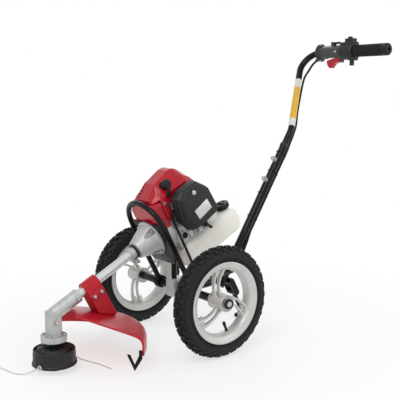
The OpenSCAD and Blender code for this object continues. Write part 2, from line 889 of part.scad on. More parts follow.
module stem_tube() color("black") at_part() difference() {
    union() {
        rod(stem_foot, stem_foot + stem_dir * stem_len, stem_d, stem_wall);
        rod(stem_foot, stem_foot + stem_dir * pivot_up, stem_d);
        rod(stem_foot + stem_dir * pivot_up, pivot_at, pivot_web_d);
        translate(pivot_at) bar_x(-pivot_eye_x, pivot_eye_x, pivot_eye_d);
    }
    translate(pivot_at) bar_x(-pivot_eye_x - over, pivot_eye_x + over, stand_pin_d + 2 * run_gap);
    stem_bolts() bolt_hole(stem_bolt_d, stem_d);
}
module hex_bolts() color("gray") {
    on_shaft() {
        flange_bolts() bolt(bolt_d, flange_t + plate_t, bolt_af, bolt_head);
        bracket_bolts() bolt(bolt_d, 2 * bracket_x, bolt_af, bolt_head);
    }
    at_part() {
        stem_bolts() bolt(stem_bolt_d, stem_d, stem_bolt_af, stem_bolt_head);
        for (side = [0, 1]) mirror([side, 0, 0]) translate([axle_half, 0, axle_z]) rotate([0, 90, 0]) {
            translate([0, 0, end_washer_t])
                bolt(end_bolt_d, end_bolt_len + end_washer_t - over, end_bolt_af, end_bolt_head);
            cylinder(h = end_washer_t, d = end_washer_d);
        }
    }
}
module prop_stand() {
    foot_at = stand_len;
    fork_at = stand_cheek_len;
    cheek = pivot_eye_x + face_gap;
    below = 2 * stand_foot_d;
    color("black") at_part() difference() {
        translate(pivot_at) rotate([stand_angle, 0, 0]) {
            bar_x(-cheek - stand_cheek_t, cheek + stand_cheek_t, stand_pin_d);
            for (side = [0, 1]) mirror([side, 0, 0])
                thick_x(cheek, cheek + stand_cheek_t) rotate(-90) link(stand_cheek_len, stand_cheek_w);
            translate([0, 0, -fork_at])
                bar_x(-cheek - stand_cheek_t, cheek + stand_cheek_t, stand_cheek_w);
            bar_up(-foot_at, -fork_at, stand_leg_d);
            translate([0, 0, -foot_at]) bar_x(-stand_foot_x, stand_foot_x, stand_foot_d);
        }
        box([-stand_foot_x - over, pivot_at[1], -below], [stand_foot_x + over, pivot_at[1] + stand_len, 0]);
    }
}

// Handle
module handle_tube() color("black") at_part() difference() {
    bent_tube([stem_foot + stem_dir * (stem_len - splice_len), stem_foot + stem_dir * kink_up,
              [elbow_x, bar_y, bar_z], [grip_x1 - grip_end_t, bar_y, bar_z]], bend_r, bar_d, bar_wall);
    stem_bolts() bolt_hole(stem_bolt_d, stem_d);
}
module bar_bore(x0, x1) bar_x(x0 - over, x1 + over, bar_d + 2 * fit_gap);
module pivot_lugs(t, half, low, high) {
    for (side = [0, 1]) mirror([0, side, 0])
        box([-half, t / 2 + lug_gap, low], [half, t / 2 + lug_gap + lug_t, high]);
}
module throttle_casing() color("gray") on_bar() difference() {
    union() {
        bar_x(casing_x0, casing_x1, casing_d);
        bar_x(casing_x0, casing_x0 + casing_flange_t, casing_flange_d);
        translate([trigger_x, 0, 0])
            pivot_lugs(trigger_t, trigger_lug_x, -trigger_lug_low, -casing_d / 2 + lug_t);
        translate([lock_x, 0, 0])
            pivot_lugs(lock_t, lock_lug_x, casing_d / 2 - lug_t, lock_z + lock_lug_top);
    }
    bar_bore(casing_x0, casing_x1);
    translate([trigger_x, 0, trigger_z]) bar_s(-casing_d, casing_d, trigger_pin_d + 2 * run_gap);
    translate([lock_x, 0, lock_z]) bar_s(-casing_d, casing_d, lock_pin_d + 2 * run_gap);
}
module switch_housing() color("black") on_bar() difference() {
    union() {
        box([casing_x1, -housing_y, -housing_low], [housing_x1, housing_y, housing_high]);
        box([hump_x0, -hump_y, housing_high - over], [hump_x1, hump_y, hump_high]);
        box([tail_x0, -tail_y, -tail_low], [tail_x1, tail_y, -housing_low + over]);
    }
    bar_bore(casing_x1, housing_x1);
}
module left_grip() color("black") on_bar() difference() {
    union() {
        bar_x(grip_x0, grip_x1, grip_d);
        for (k = [1 : grip_rib_count])
            let (x = grip_x0 + k * grip_len / (grip_rib_count + 1))
                bar_x(x - grip_rib_w / 2, x + grip_rib_w / 2, grip_rib_d);
    }
    bar_bore(grip_x0, grip_x1 - grip_end_t - over);
    bar_x(grip_x0, grip_x1 + over, grip_hole_d);
}
module lever_shape(len, shares, t) {
    translate([0, t / 2, 0]) rotate([90, 0, 0]) linear_extrude(t) polygon(len * shares);
}
module throttle_trigger() color("red") on_bar() translate([trigger_x, 0, trigger_z]) {
    reach = trigger_t / 2 + lug_gap + lug_t + over;
    bar_s(-reach, reach, trigger_pin_d);
    bar_s(-trigger_t / 2, trigger_t / 2, trigger_boss_d);
    lever_shape(trigger_len, trigger_shares, trigger_t);
}
module lock_lever() color("black") on_bar() translate([lock_x, 0, lock_z]) {
    reach = lock_t / 2 + lug_gap + lug_t + over;
    bar_s(-reach, reach, lock_pin_d);
    bar_s(-lock_t / 2, lock_t / 2, lock_boss_d);
    lever_shape(lock_len, lock_shares, lock_t);
}
module stop_switch() {
    mid = (hump_x0 + hump_x1 - switch_len - switch_travel) / 2;
    color("red") on_bar()
        box([mid, -switch_y, hump_high + face_gap],
            [mid + switch_len, switch_y, hump_high + face_gap + switch_h]);
}
module throttle_cable() {
    kink = stem_foot + stem_dir * kink_up;
    elbow = [elbow_x, bar_y, bar_z];
    carb_s = cyl_s - carb_half;
    route = concat([for (p = cable_from_bar) [0, bar_y, bar_z] + p],
        [for (i = [0 : len(cable_tube_off) - 1])
            kink + (elbow - kink) * cable_tube_shares[i] + cable_tube_off[i]],
        [for (q = cable_stem) stem_foot + stem_dir * q[0] + stem_back * q[1] + [q[2], 0, 0]],
        cable_free,
        [for (q = cable_rise) in_axle_frame(q[1], q[2]) + [q[0], 0, 0]],
        [for (s = [carb_s - cable_lead, carb_s - face_gap])
            in_axle_frame(s, cable_end_h) + [cable_x, 0, 0]]);
    color("black") at_part() cord(smooth(route, cable_steps), cable_d, cable_sides, cable_side_dir);
}

// Drive line
module shaft_tube() color("lightgray") on_shaft() difference() {
    bar_s(tube_s0, tube_s1, tube_d);
    bar_s(tube_s0 - over, tube_s1 + over, tube_d - 2 * tube_wall);
}
module clutch_housing() color("silver") on_shaft() difference() {
    union() {
        bar_s(housing_neck_s, cone_s0 + over, housing_neck_d);
        cone_s(cone_s0, plate_s0 - flange_t, cone_small_d, flange_d - bolt_af);
        bar_s(plate_s0 - flange_t, plate_s0, flange_d);
    }
    bar_s(housing_neck_s - over, tube_s1, tube_d + 2 * fit_gap);
    bar_s(tube_s1 - over, cone_cavity_s + over, drive_d + 2 * run_gap);
    bar_s(cone_cavity_s, plate_s0 + over, cone_cavity_d);
    flange_bolts() bolt_hole(bolt_d, flange_t + plate_t);
    flange_bolts() cylinder(h = cone_len, d = 2 * bolt_af);
}
module clutch_ring() color("black") on_shaft() difference() {
    bar_s(ring_s1 - ring_w, ring_s1, housing_neck_d + 2 * ring_wall);
    bar_s(ring_s1 - ring_w - over, ring_s1 + over, housing_neck_d + 2 * fit_gap);
}
module drive_shaft() color("gray") on_shaft() bar_s(drive_from(), drum_s0 + drum_boss_len, drive_d);
function drive_from() = gear_far * cos(pinion_cone) + pinion_back;
module clutch_drum() color("lightsteelblue") on_shaft() difference() {
    bar_s(drum_s0, drum_s1, drum_d);
    bar_s(drum_s0 + drum_plate_t, drum_s1 + over, drum_d - 2 * drum_wall);
    bar_s(drum_s0 - over, drum_s1 + over, drive_d + 2 * fit_gap);
}
module bevel_blank(cone, back, teeth) {
    near = gear_near * cos(cone);
    far = gear_far * cos(cone);
    slope = tan(cone - gear_slack);
    difference() {
        union() {
            translate([0, 0, near]) cylinder(h = far - near, r1 = near * slope, r2 = far * slope);
            translate([0, 0, far]) cylinder(h = back, r = far * slope);
        }
        for (k = [0 : teeth - 1]) rotate(360 * k / teeth)
            translate([gear_near * sin(cone), -tooth_w / 2, near - over])
                cube([gear_far, tooth_w, tooth_h + over]);
    }
}
module bevel_pinion() color("gray") on_shaft() rotate([-90, 0, 0])
    bevel_blank(pinion_cone, pinion_back, pinion_teeth);
module head_spindle() color("gray") on_spindle() {
    wheel_low = cross_z - gear_far * cos(wheel_cone) - wheel_back;
    translate([0, 0, cross_z]) mirror([0, 0, 1]) bevel_blank(wheel_cone, wheel_back, wheel_teeth);
    bar_up(head_top, wheel_low, spindle_d);
}
module gear_case() color("silver") difference() {
    union() {
        on_spindle() {
            translate([-case_d / 2, -case_d / 2, case_flange_low])
                linear_extrude(cross_z + case_top - case_flange_low) round_rect(case_d, case_d, case_round);
            bar_up(case_flange_low, case_flange_low + case_flange_t, case_flange_d);
        }
        on_shaft() bar_s(0, neck_s, neck_d);
    }
    on_spindle() {
        bar_up(case_flange_low - over, cross_z, spindle_d + 2 * run_gap);
        bar_up(cross_z - gear_room_low, cross_z + gear_room_high, gear_room_d);
    }
    on_shaft() {
        bar_s(0, drive_from() + 2 * over, pinion_room_d);
        bar_s(0, neck_s, drive_d + 2 * run_gap);
        bar_s(tube_s0, neck_s + over, tube_d + 2 * fit_gap);
    }
}

// Line head
module head_body() color("black") on_spindle() difference() {
    union() {
        rotate_extrude() polygon([[0, head_top], [head_neck_r, head_top],
            [head_waist_r, head_top - head_shoulder_h], [head_waist_r, head_low + head_flare_h],
            [head_r, head_low + head_flare_h / 2], [head_r, head_low], [head_waist_r - head_wall, head_low],
            [head_waist_r - head_wall, head_top - head_shoulder_h],
            [head_neck_r - head_wall, head_top - head_top_t], [0, head_top - head_top_t]]);
        bar_up(head_top - over, head_top + head_boss_h, head_boss_d);
    }
    bar_up(head_top, head_top + head_boss_h + over, spindle_d + 2 * fit_gap);
}
module head_spool() color("orange") on_spindle() {
    top = head_top - head_top_t;
    flange_r = head_neck_r - head_wall - spool_gap;
    rotate_extrude() polygon([[knob_stem_d / 2 + run_gap, spool_low], [flange_r, spool_low],
        [flange_r, spool_low + spool_flange_t], [spool_core_r, spool_low + spool_flange_t],
        [spool_core_r, top - spool_flange_t], [flange_r - spool_gap, top - spool_flange_t],
        [flange_r - spool_gap, top], [knob_stem_d / 2 + run_gap, top]]);
}
module bump_knob() color("dimgray") on_spindle() rotate_extrude() polygon([[0, 0], [knob_r - knob_round, 0],
    [knob_r, knob_round], [knob_r, knob_disc_h], [knob_stem_d / 2, knob_disc_h],
    [knob_stem_d / 2, knob_disc_h + knob_stem_h], [0, knob_disc_h + knob_stem_h]]);
module knob_spring() color("lightsteelblue") on_spindle() {
    low = knob_disc_h + knob_stem_h + knob_travel + spring_free;
    difference() {
        bar_up(low, head_top - head_top_t, 2 * spring_r);
        bar_up(low - over, head_top, 2 * (spring_r - spring_wall));
    }
}
module line_end(turn) {
    on_spindle() rotate(turn) cord(smooth(line_route, line_steps), line_d, line_sides, [0, 0, 1]);
}
module rear_line() color("orange") line_end(0);
module front_line() color("orange") line_end(180);

// Guard
function guard_fall() = (guard_top - guard_edge) / (guard_r - guard_lip_t - guard_in_r);
module guard_blank(lift) {
    rotate(guard_start) rotate_extrude(angle = guard_sweep)
        polygon([[guard_in_r, guard_top + lift], [guard_r - guard_lip_t, guard_edge + lift],
                 [guard_r, guard_edge - guard_lip_t], [guard_r, guard_edge - guard_rim],
                 [guard_r - guard_wall, guard_edge - guard_rim],
                 [guard_r - guard_wall, guard_edge - guard_lip_t - guard_wall],
                 [guard_in_r, guard_top - guard_wall]]);
}
module guard_shell() color("red") on_spindle() guard_blank(0);
module guard_bracket() color("red") difference() {
    on_shaft() {
        box([-bracket_x, bracket_s0, -bracket_floor], [bracket_x, bracket_s1, 0]);
        bar_s(bracket_s0, bracket_s1, 2 * bracket_roof);
    }
    on_shaft() bar_s(bracket_s0 - over, bracket_s1 + over, tube_d + 2 * fit_gap);
    on_shaft() bracket_bolts() bolt_hole(bolt_d, 2 * bracket_x);
    on_spindle() rotate_extrude()
        polygon([[0, -over], [guard_r, -over],
                 [guard_r, guard_top + face_gap - guard_fall() * (guard_r - guard_in_r)],
                 [0, guard_top + face_gap + guard_fall() * guard_in_r]]);
}
module line_cutter() color("black") on_spindle() rotate(guard_start) {
    low = guard_edge - guard_rim;
    out = guard_r - guard_wall - face_gap;
    rotate([90, 0, 0]) mirror([0, 0, 1]) linear_extrude(cutter_t)
        polygon([[out, low + cutter_tab], [out, low - cutter_arm], [out - cutter_in / 2, low - cutter_deep],
                 [out - cutter_in, low], [out - cutter_in + cutter_arm, low],
                 [out - cutter_in / 2, low - cutter_deep + 2 * cutter_arm], [out - cutter_arm, low],
                 [out - cutter_arm, low + cutter_tab]]);
}

// Engine
module shroud_outline(inset) {
    circle(r = shroud_r - inset);
    translate([-shroud_x + inset, 0]) square([2 * (shroud_x - inset), shroud_top - shroud_round]);
    translate([-shroud_x + shroud_round, 0]) square([2 * (shroud_x - shroud_round), shroud_top - inset]);
    for (side = [-1, 1]) translate([side * (shroud_x - shroud_round), shroud_top - shroud_round])
        circle(r = shroud_round - inset);
}
module fan_shroud() color("red") on_shaft() difference() {
    thick_s(plate_s1, shroud_s1) shroud_outline(0);
    thick_s(plate_s1 + corner_deep + shell_wall, shroud_s1 + over) shroud_outline(shell_wall);
    bar_s(plate_s1 + shell_wall, shroud_s1 + over, 2 * (shroud_r - 2 * shell_wall));
    thick_s(plate_s1 - over, plate_s1 + corner_deep) difference() {
        translate([-hoop_r, hoop_rise]) square([2 * hoop_r, hoop_r]);
        translate([0, hoop_rise]) circle(r = hoop_r - hoop_d / 2 - face_gap);
    }
    bar_s(plate_s1 - over, shroud_s1, shroud_hole_d);
}
module crankcase() color("silver") on_shaft() difference() {
    union() {
        difference() {
            bar_s(shroud_s1, crank_s1, 2 * crank_r);
            box([-crank_r, shroud_s1 - over, deck_h - 2 * over], [crank_r, crank_s1 + over, crank_r + over]);
        }
        box([-crank_x, shroud_s1, -crank_drop], [crank_x, crank_s1, 0]);
        box([-deck_x, cyl_s - deck_x, 0], [deck_x, cyl_s + deck_x, deck_h]);
        translate([0, primer_s, primer_h]) bar_x(crank_x - over, crank_x + primer_ring_t, primer_ring_d);
    }
    bar_s(web_s0, web_s1, web_room_d);
    bar_s(shroud_s1 - over, crank_s1 + over, crank_d + 2 * run_gap);
    translate([0, cyl_s, 0]) bar_up(0, deck_h + over, bore_d);
    translate([0, primer_s, primer_h])
        bar_x(crank_x - primer_deep, crank_x + primer_ring_t + over, primer_d + 2 * run_gap);
}
module plug_axis() on_shaft() translate(plug_from) rotate([0, plug_lean, 0]) children();
module cylinder_block() color("lightgray") difference() {
    on_shaft() translate([0, cyl_s, 0]) {
        bar_up(deck_h, barrel_top, barrel_d);
        bar_up(barrel_top - over, dome_top, dome_d);
        for (k = [0 : fin_count - 1]) bar_up(fin_h0 + k * fin_step, fin_h0 + k * fin_step + fin_t, fin_d);
    }
    on_shaft() translate([0, cyl_s, 0]) bar_up(deck_h - over, bore_top, bore_d);
    plug_axis() cylinder_cut(plug_thread_len + plug_hex_len, plug_thread_d);
    plug_axis() translate([0, 0, plug_thread_len])
        cylinder_cut(plug_hex_len + plug_tip_len, plug_hex_af / cos(30));
}
module cylinder_cut(h, d) bar_up(0, h, d + 2 * fit_gap);
module piston() color("lightsteelblue") on_shaft() translate([0, cyl_s, 0]) difference() {
    bar_up(piston_low, piston_low + piston_h, bore_d - 2 * run_gap);
    bar_up(piston_low - over, piston_low + piston_h - 2 * piston_wall, bore_d - 2 * piston_wall);
}
module port(x0, x1) {
    difference() {
        translate([0, cyl_s, port_h]) bar_x(x0, x1, port_d);
        translate([0, cyl_s, 0]) bar_up(0, barrel_top, barrel_d + 2 * fit_gap);
    }
}
module carburettor() color("darkgray") on_shaft() {
    port(barrel_d / 2 - deck_x / 2, carb_x0 + over);
    difference() {
        box([carb_x0, cyl_s - carb_half, carb_low], [carb_x1, cyl_s + carb_half, carb_high]);
        translate([0, cyl_s, port_h]) bar_x(carb_x0 + carb_half, carb_x1 + over, port_d - 2 * shell_wall);
    }
}
module muffler() color("dimgray") on_shaft() mirror([1, 0, 0]) {
    port(barrel_d / 2 - deck_x / 2, muffler_x0 + over);
    translate([0, cyl_s - muffler_half, muffler_low]) thick_x(muffler_x0, muffler_x1)
        round_rect(2 * muffler_half, muffler_high - muffler_low, muffler_round);
    translate([muffler_x1 - muffler_pipe_d, cyl_s, muffler_low + muffler_pipe_d])
        bar_s(muffler_half - over, muffler_half + muffler_pipe_len, muffler_pipe_d);
}
module cowl_across(inset) thick_s(cowl_s0 - over, axle_s + cowl_along[3] + over)
    polygon([for (side = [-1, 1], p = side < 0 ? cowl_side() : reversed(cowl_side()))
        [side * (p[0] - inset), p[1]]]);
function cowl_side() = [[cowl_brow_x, cowl_low - 2 * over], [cowl_brow_x, cowl_brow_h],
                        [cowl_edge_x, cowl_edge_h], [cowl_crown_x, cowl_crown_h]];
function reversed(v) = [for (i = [len(v) - 1 : -1 : 0]) v[i]];
module cowl_plan(inset) {
    wide = cowl_x - cowl_front_x;
    front = cowl_front_x - wide - inset;
    rear = cowl_x + wide - inset;
    end = axle_s + cowl_along[3] + over;
    translate([0, 0, cowl_low - 2 * over]) linear_extrude(cowl_crown_h)
        polygon([[-front, cowl_s0 - cowl_cheek], [front, cowl_s0 - cowl_cheek],
                 [rear, cowl_s0 + 2 * cowl_cheek], [rear, end], [-rear, end],
                 [-rear, cowl_s0 + 2 * cowl_cheek]]);
}
module top_cowl() color("red") difference() {
    on_shaft() difference() {
        intersection() {
            thick_x(-cowl_x, cowl_x) polygon(cowl_points);
            cowl_across(0);
            cowl_plan(0);
        }
        intersection() {
            thick_x(-cowl_x + shell_wall, cowl_x - shell_wall)
                offset(delta = -shell_wall) polygon(cowl_points);
            cowl_across(shell_wall);
            cowl_plan(shell_wall);
        }
        box([-cowl_x + shell_wall, shroud_s1, cowl_low - over],
            [cowl_x - shell_wall, crank_s1 + cowl_gap + over, fin_h0 + fin_count * fin_step]);
        for (side = [0, 1]) mirror([side, 0, 0])
            box([cowl_x - 2 * shell_wall, cyl_s - cowl_window / 2, cowl_window_low],
                [cowl_x + over, cyl_s + cowl_window / 2, cowl_window_high]);
    }
    plug_axis() bar_up(plug_thread_len, plug_thread_len + plug_hex_len + boot_len + boot_d, boot_window_d);
}
module spark_plug() color("white") plug_axis() {
    bar_up(0, plug_thread_len, plug_thread_d);
    translate([0, 0, plug_thread_len]) cylinder(h = plug_hex_len, d = plug_hex_af / cos(30), $fn = 6);
    bar_up(plug_thread_len + plug_hex_len, plug_thread_len + plug_hex_len + plug_tip_len, plug_tip_d);
}
module plug_boot() color("black") plug_axis() {
    low = plug_thread_len + plug_hex_len + boot_gap;
    difference() {
        bar_up(low, low + boot_len, boot_d);
        bar_up(low - over, plug_thread_len + plug_hex_len + plug_tip_len + fit_gap,
               plug_tip_d + 2 * fit_gap);
    }
}
module filter_outline() translate([filter_s, filter_h0])
    polygon([for (p = filter_shares) [p[0] * filter_w, p[1] * filter_hh]]);
module filter_case() color("black") on_shaft() difference() {
    union() {
        thick_x(carb_x1, filter_x0) filter_outline();
        thick_x(carb_x1, filter_x0) translate([choke_s, choke_h]) rotate(90)
            link(filter_h0 - choke_h + choke_tab_d, choke_tab_d);
    }
    translate([0, cyl_s, port_h]) bar_x(carb_x1 - over, filter_x0 + over, port_d - 2 * shell_wall);
    translate([0, choke_s, choke_h]) bar_x(carb_x1 - over, filter_x0 + over, choke_pin_d + 2 * run_gap);
}
module filter_element() color("khaki") on_shaft() thick_x(filter_x0, filter_x0 + element_t)
    offset(delta = -element_inset) filter_outline();
module filter_cover() color("black") on_shaft() difference() {
    thick_x(filter_x0, filter_x1) filter_outline();
    thick_x(filter_x0 - over, filter_x1 - shell_wall) offset(delta = -shell_wall) filter_outline();
}
module choke_lever() color("black") on_shaft() translate([0, choke_s, choke_h]) {
    bar_x(carb_x1 - over, filter_x0 + face_gap + over, choke_pin_d);
    thick_x(filter_x0 + face_gap, filter_x0 + face_gap + choke_t) rotate(choke_rest)
        link(choke_arm, choke_arm_w);
}
module primer_bulb() color("dimgray") on_shaft() translate([0, primer_s, primer_h]) {
    low = crank_x - primer_deep + primer_travel + face_gap;
    bar_x(low, crank_x + primer_ring_t + primer_out, primer_d);
}
module starter_case() color("black") on_shaft() difference() {
    union() {
        bar_s(starter_s0, starter_s1, starter_d);
        translate([guide_x, 0, guide_h]) bar_s(starter_s1 - over, starter_s1 + guide_len, guide_d);
    }
    bar_s(starter_s0 - over, starter_s1 - starter_wall, starter_d - 2 * starter_wall);
    translate([guide_x, 0, guide_h]) bar_s(starter_s0, starter_s1 + guide_len + over, rope_d);
}
module starter_handle() color("black") on_shaft() {
    translate([guide_x, starter_s1 + guide_len + face_gap, guide_h]) {
        bar_s(0, pull_stem_len, pull_stem_d);
        translate([0, pull_stem_len + pull_grip_d / 3, 0])
            bar_up(-pull_grip_half, pull_grip_half, pull_grip_d);
    }
}
module tank_outline(inset) translate([tank_s0 + inset, -crank_drop - tank_h + inset])
    round_rect(tank_len - 2 * inset, tank_h - 2 * inset, tank_round - inset);
module post_notch(grow) at_part()
    box([-notch_x - grow, -head_reach, 0], [notch_x + grow, notch_y + grow, bar_z]);
module fuel_tank() color("ivory") difference() {
    union() {
        difference() {
            on_shaft() thick_x(-tank_x, tank_x) tank_outline(0);
            difference() {
                on_shaft() thick_x(-tank_x + tank_wall, tank_x - tank_wall) tank_outline(tank_wall);
                post_notch(tank_wall);
            }
        }
        on_neck() bar_up(-tank_wall, tank_neck_h, tank_neck_d);
    }
    post_notch(0);
    on_neck() bar_up(-tank_wall - over, tank_neck_h + over, tank_neck_d - 2 * tank_wall);
}
module on_neck() on_shaft() translate([neck_x, tank_s0 + tank_len - neck_back, -crank_drop]) children();
module tank_cap() color("black") on_neck() difference() {
    bar_up(tank_neck_h - cap_skirt, tank_neck_h - cap_skirt + cap_h, cap_d);
    bar_up(tank_neck_h - cap_skirt - over, tank_neck_h + face_gap, tank_neck_d + 2 * run_gap);
}

// Turning pieces of the engine
module crankshaft() color("gray") on_shaft() {
    mid = (web_s0 + web_s1) / 2;
    half = (web_s1 - web_s0) / 2 - web_gap;
    bar_s(crank_s0, mid - half + web_t, crank_d);
    bar_s(mid + half - web_t, crank_end, crank_d);
    bar_s(mid - half, mid - half + web_t, web_d);
    bar_s(mid + half - web_t, mid + half, web_d);
    translate([0, 0, pin_offset]) bar_s(mid - half + web_t - over, mid + half - web_t + over, crank_pin_d);
}
module flywheel() color("lightgray") on_shaft() difference() {
    union() {
        bar_s(fly_s0, fly_s0 + fly_t, fly_hub_d);
        bar_s(fly_s0 + fly_t - fly_disc_t, fly_s0 + fly_t, fly_d);
        for (k = [0 : vane_count - 1]) rotate([0, 360 * k / vane_count, 0])
            box([vane_in_r, fly_s0, -vane_t / 2], [fly_d / 2 - vane_t, fly_s0 + fly_t - over, vane_t / 2]);
    }
    bar_s(fly_s0 - over, fly_s0 + fly_t + over, crank_d + 2 * fit_gap);
}
module clutch_shoes() color("gray") on_shaft() difference() {
    bar_s(shoe_s0, shoe_s1, drum_d - 2 * drum_wall - 2 * shoe_gap);
    bar_s(shoe_s0 - over, shoe_s1 + over, crank_d + 2 * fit_gap);
    for (k = [0 : shoe_count - 1]) rotate([0, 360 * k / shoe_count, 0])
        box([crank_d, shoe_s0 - over, -shoe_slot_w / 2], [drum_d, shoe_s1 + over, shoe_slot_w / 2]);
}

axle();
axle_clamp();
hoop_frame();
engine_post();
spine_tube();
stem_tube();
hex_bolts();
handle_tube();
throttle_casing();
switch_housing();
left_grip();
throttle_cable();
shaft_tube();
clutch_housing();
clutch_ring();
gear_case();
guard_bracket();
guard_shell();
line_cutter();
fan_shroud();
crankcase();
cylinder_block();  // cylinder
piston();
muffler();
top_cowl();
spark_plug();
plug_boot();
carburettor();
filter_case();
filter_element();
filter_cover();
starter_case();
fuel_tank();
left_tyre();
left_rim();
left_bearings();
right_tyre();
right_rim();
right_bearings();
drive_shaft();
clutch_drum();
bevel_pinion();
head_spindle();
head_body();
head_spool();
knob_spring();
front_line();
rear_line();
bump_knob();
crankshaft();
flywheel();
clutch_shoes();
throttle_trigger();
lock_lever();
stop_switch();
starter_handle();
choke_lever();
primer_bulb();
tank_cap();
prop_stand();
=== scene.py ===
import json
import math
import bpy
import bmesh
from mathutils import Matrix, Vector


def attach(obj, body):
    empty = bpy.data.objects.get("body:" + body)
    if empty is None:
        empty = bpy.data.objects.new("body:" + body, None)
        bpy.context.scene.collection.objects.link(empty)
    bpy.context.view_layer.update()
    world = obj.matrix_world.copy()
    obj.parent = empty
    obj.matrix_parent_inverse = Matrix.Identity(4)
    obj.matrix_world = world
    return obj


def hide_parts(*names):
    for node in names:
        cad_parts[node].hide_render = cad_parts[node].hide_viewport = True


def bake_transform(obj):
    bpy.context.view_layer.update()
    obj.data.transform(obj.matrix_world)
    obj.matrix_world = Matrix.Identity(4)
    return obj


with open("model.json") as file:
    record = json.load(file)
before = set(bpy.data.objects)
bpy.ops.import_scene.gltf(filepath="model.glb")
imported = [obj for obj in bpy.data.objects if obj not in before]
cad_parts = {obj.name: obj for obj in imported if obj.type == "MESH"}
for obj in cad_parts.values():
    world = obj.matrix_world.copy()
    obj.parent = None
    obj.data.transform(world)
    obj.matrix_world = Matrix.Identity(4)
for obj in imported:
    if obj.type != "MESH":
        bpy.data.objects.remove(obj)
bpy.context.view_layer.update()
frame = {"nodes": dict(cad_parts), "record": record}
scene = bpy.context.scene
scene.view_settings.view_transform = "Standard"

# main places in millimetres, as in the solids; shiftY brings the middle of the machine over the origin
layout = dict(shiftY=-109, headY=-409, tubeZ=151, tilt=27.5, barY=657, barZ=868, wheelX=204, axleZ=158)
xAxis = Vector((1, 0, 0))
yAxis = Vector((0, 1, 0))
shift = Matrix.Translation


def turned(degrees, axis):
    return Matrix.Rotation(math.radians(degrees), 4, axis)


def polar(radius, degrees):
    a = math.radians(degrees)
    return radius * math.cos(a), radius * math.sin(a)


def fromAxle(y, z):
    # millimetres behind and above the ground under the axle, to metres in the shared frame
    return Matrix.Scale(0.001, 4) @ shift((0, layout["shiftY"] + y, z))


axleM = fromAxle(0, 0)
spindleM = fromAxle(layout["headY"], 0)
shaftM = fromAxle(layout["headY"], layout["tubeZ"]) @ turned(layout["tilt"], "X")
barM = fromAxle(layout["barY"], layout["barZ"])
toAxle = axleM.inverted() @ shaftM
alongX = turned(90, "Y")  # local Z to +X
alongS = turned(-90, "X")  # local Z to +Y


def axleSide(side, x):
    # local Z points outwards along the axle
    return shift((side * x, 0, layout["axleZ"])) @ turned(90 * side, "Y")


def aimed(point, direction):
    return shift(point) @ Vector(direction).to_track_quat("Z", "Y").to_matrix().to_4x4()


def linear(hexColour):
    parts = [int(hexColour[i:i + 2], 16) / 255 for i in (1, 3, 5)]
    return tuple(c / 12.92 if c <= 0.04045 else ((c + 0.055) / 1.055) ** 2.4 for c in parts) + (1.0,)


def addNode(tree, kind, inputs=None, **settings):
    n = tree.nodes.new(kind)
    for key, value in settings.items():
        setattr(n, key, value)
    for key, value in (inputs or {}).items():
        if isinstance(value, bpy.types.NodeSocket):
            tree.links.new(value, n.inputs[key])
        else:
            n.inputs[key].default_value = value
    return n


# finishes

def finish(name, dark, light, rough, cloudMm, grainMm, bump, metallic=0.0, ior=1.5, specular=0.5,
           turn=(0, 0, 0), stretch=(1, 1, 1), sockets=None):
    mat = bpy.data.materials.new(name)
    mat.use_nodes = True
    tree = mat.node_tree
    tree.nodes.clear()
    place = addNode(tree, "ShaderNodeTexCoord").outputs["Object"]
    place = addNode(tree, "ShaderNodeMapping", {
        "Vector": place, "Rotation": turn, "Scale": stretch}).outputs[0]
    # cloudy change of colour and of gloss
    cloud = addNode(tree, "ShaderNodeTexNoise", {
        "Vector": place, "Scale": 1000 / cloudMm, "Detail": 4.0, "Roughness": 0.6}).outputs["Fac"]
    ramp = addNode(tree, "ShaderNodeValToRGB", {"Fac": cloud})
    for stop, position, colour in zip(ramp.color_ramp.elements, (0.3, 0.72), (dark, light)):
        stop.position = position
        stop.color = linear(colour)
    gloss = addNode(tree, "ShaderNodeMapRange", {
        "Value": cloud, "From Min": 0.25, "From Max": 0.75, "To Min": rough[0], "To Max": rough[1]})
    # the surface's own grain
    grain = addNode(tree, "ShaderNodeTexNoise", {
        "Vector": place, "Scale": 1000 / grainMm, "Detail": 3.0, "Roughness": 0.65})
    relief = addNode(tree, "ShaderNodeBump", {
        "Height": grain.outputs["Fac"], "Strength": bump, "Distance": grainMm * 0.0004})  # 0.4 of its width
    bsdf = addNode(tree, "ShaderNodeBsdfPrincipled", {
        "Base Color": ramp.outputs[0], "Metallic": metallic, "Roughness": gloss.outputs[0],
        "Specular IOR Level": specular, "Normal": relief.outputs[0], **(sockets or {})})
    if metallic < 0.5:
        bsdf.inputs["IOR"].default_value = ior
    addNode(tree, "ShaderNodeOutputMaterial", {"Surface": bsdf.outputs[0]})
    return mat


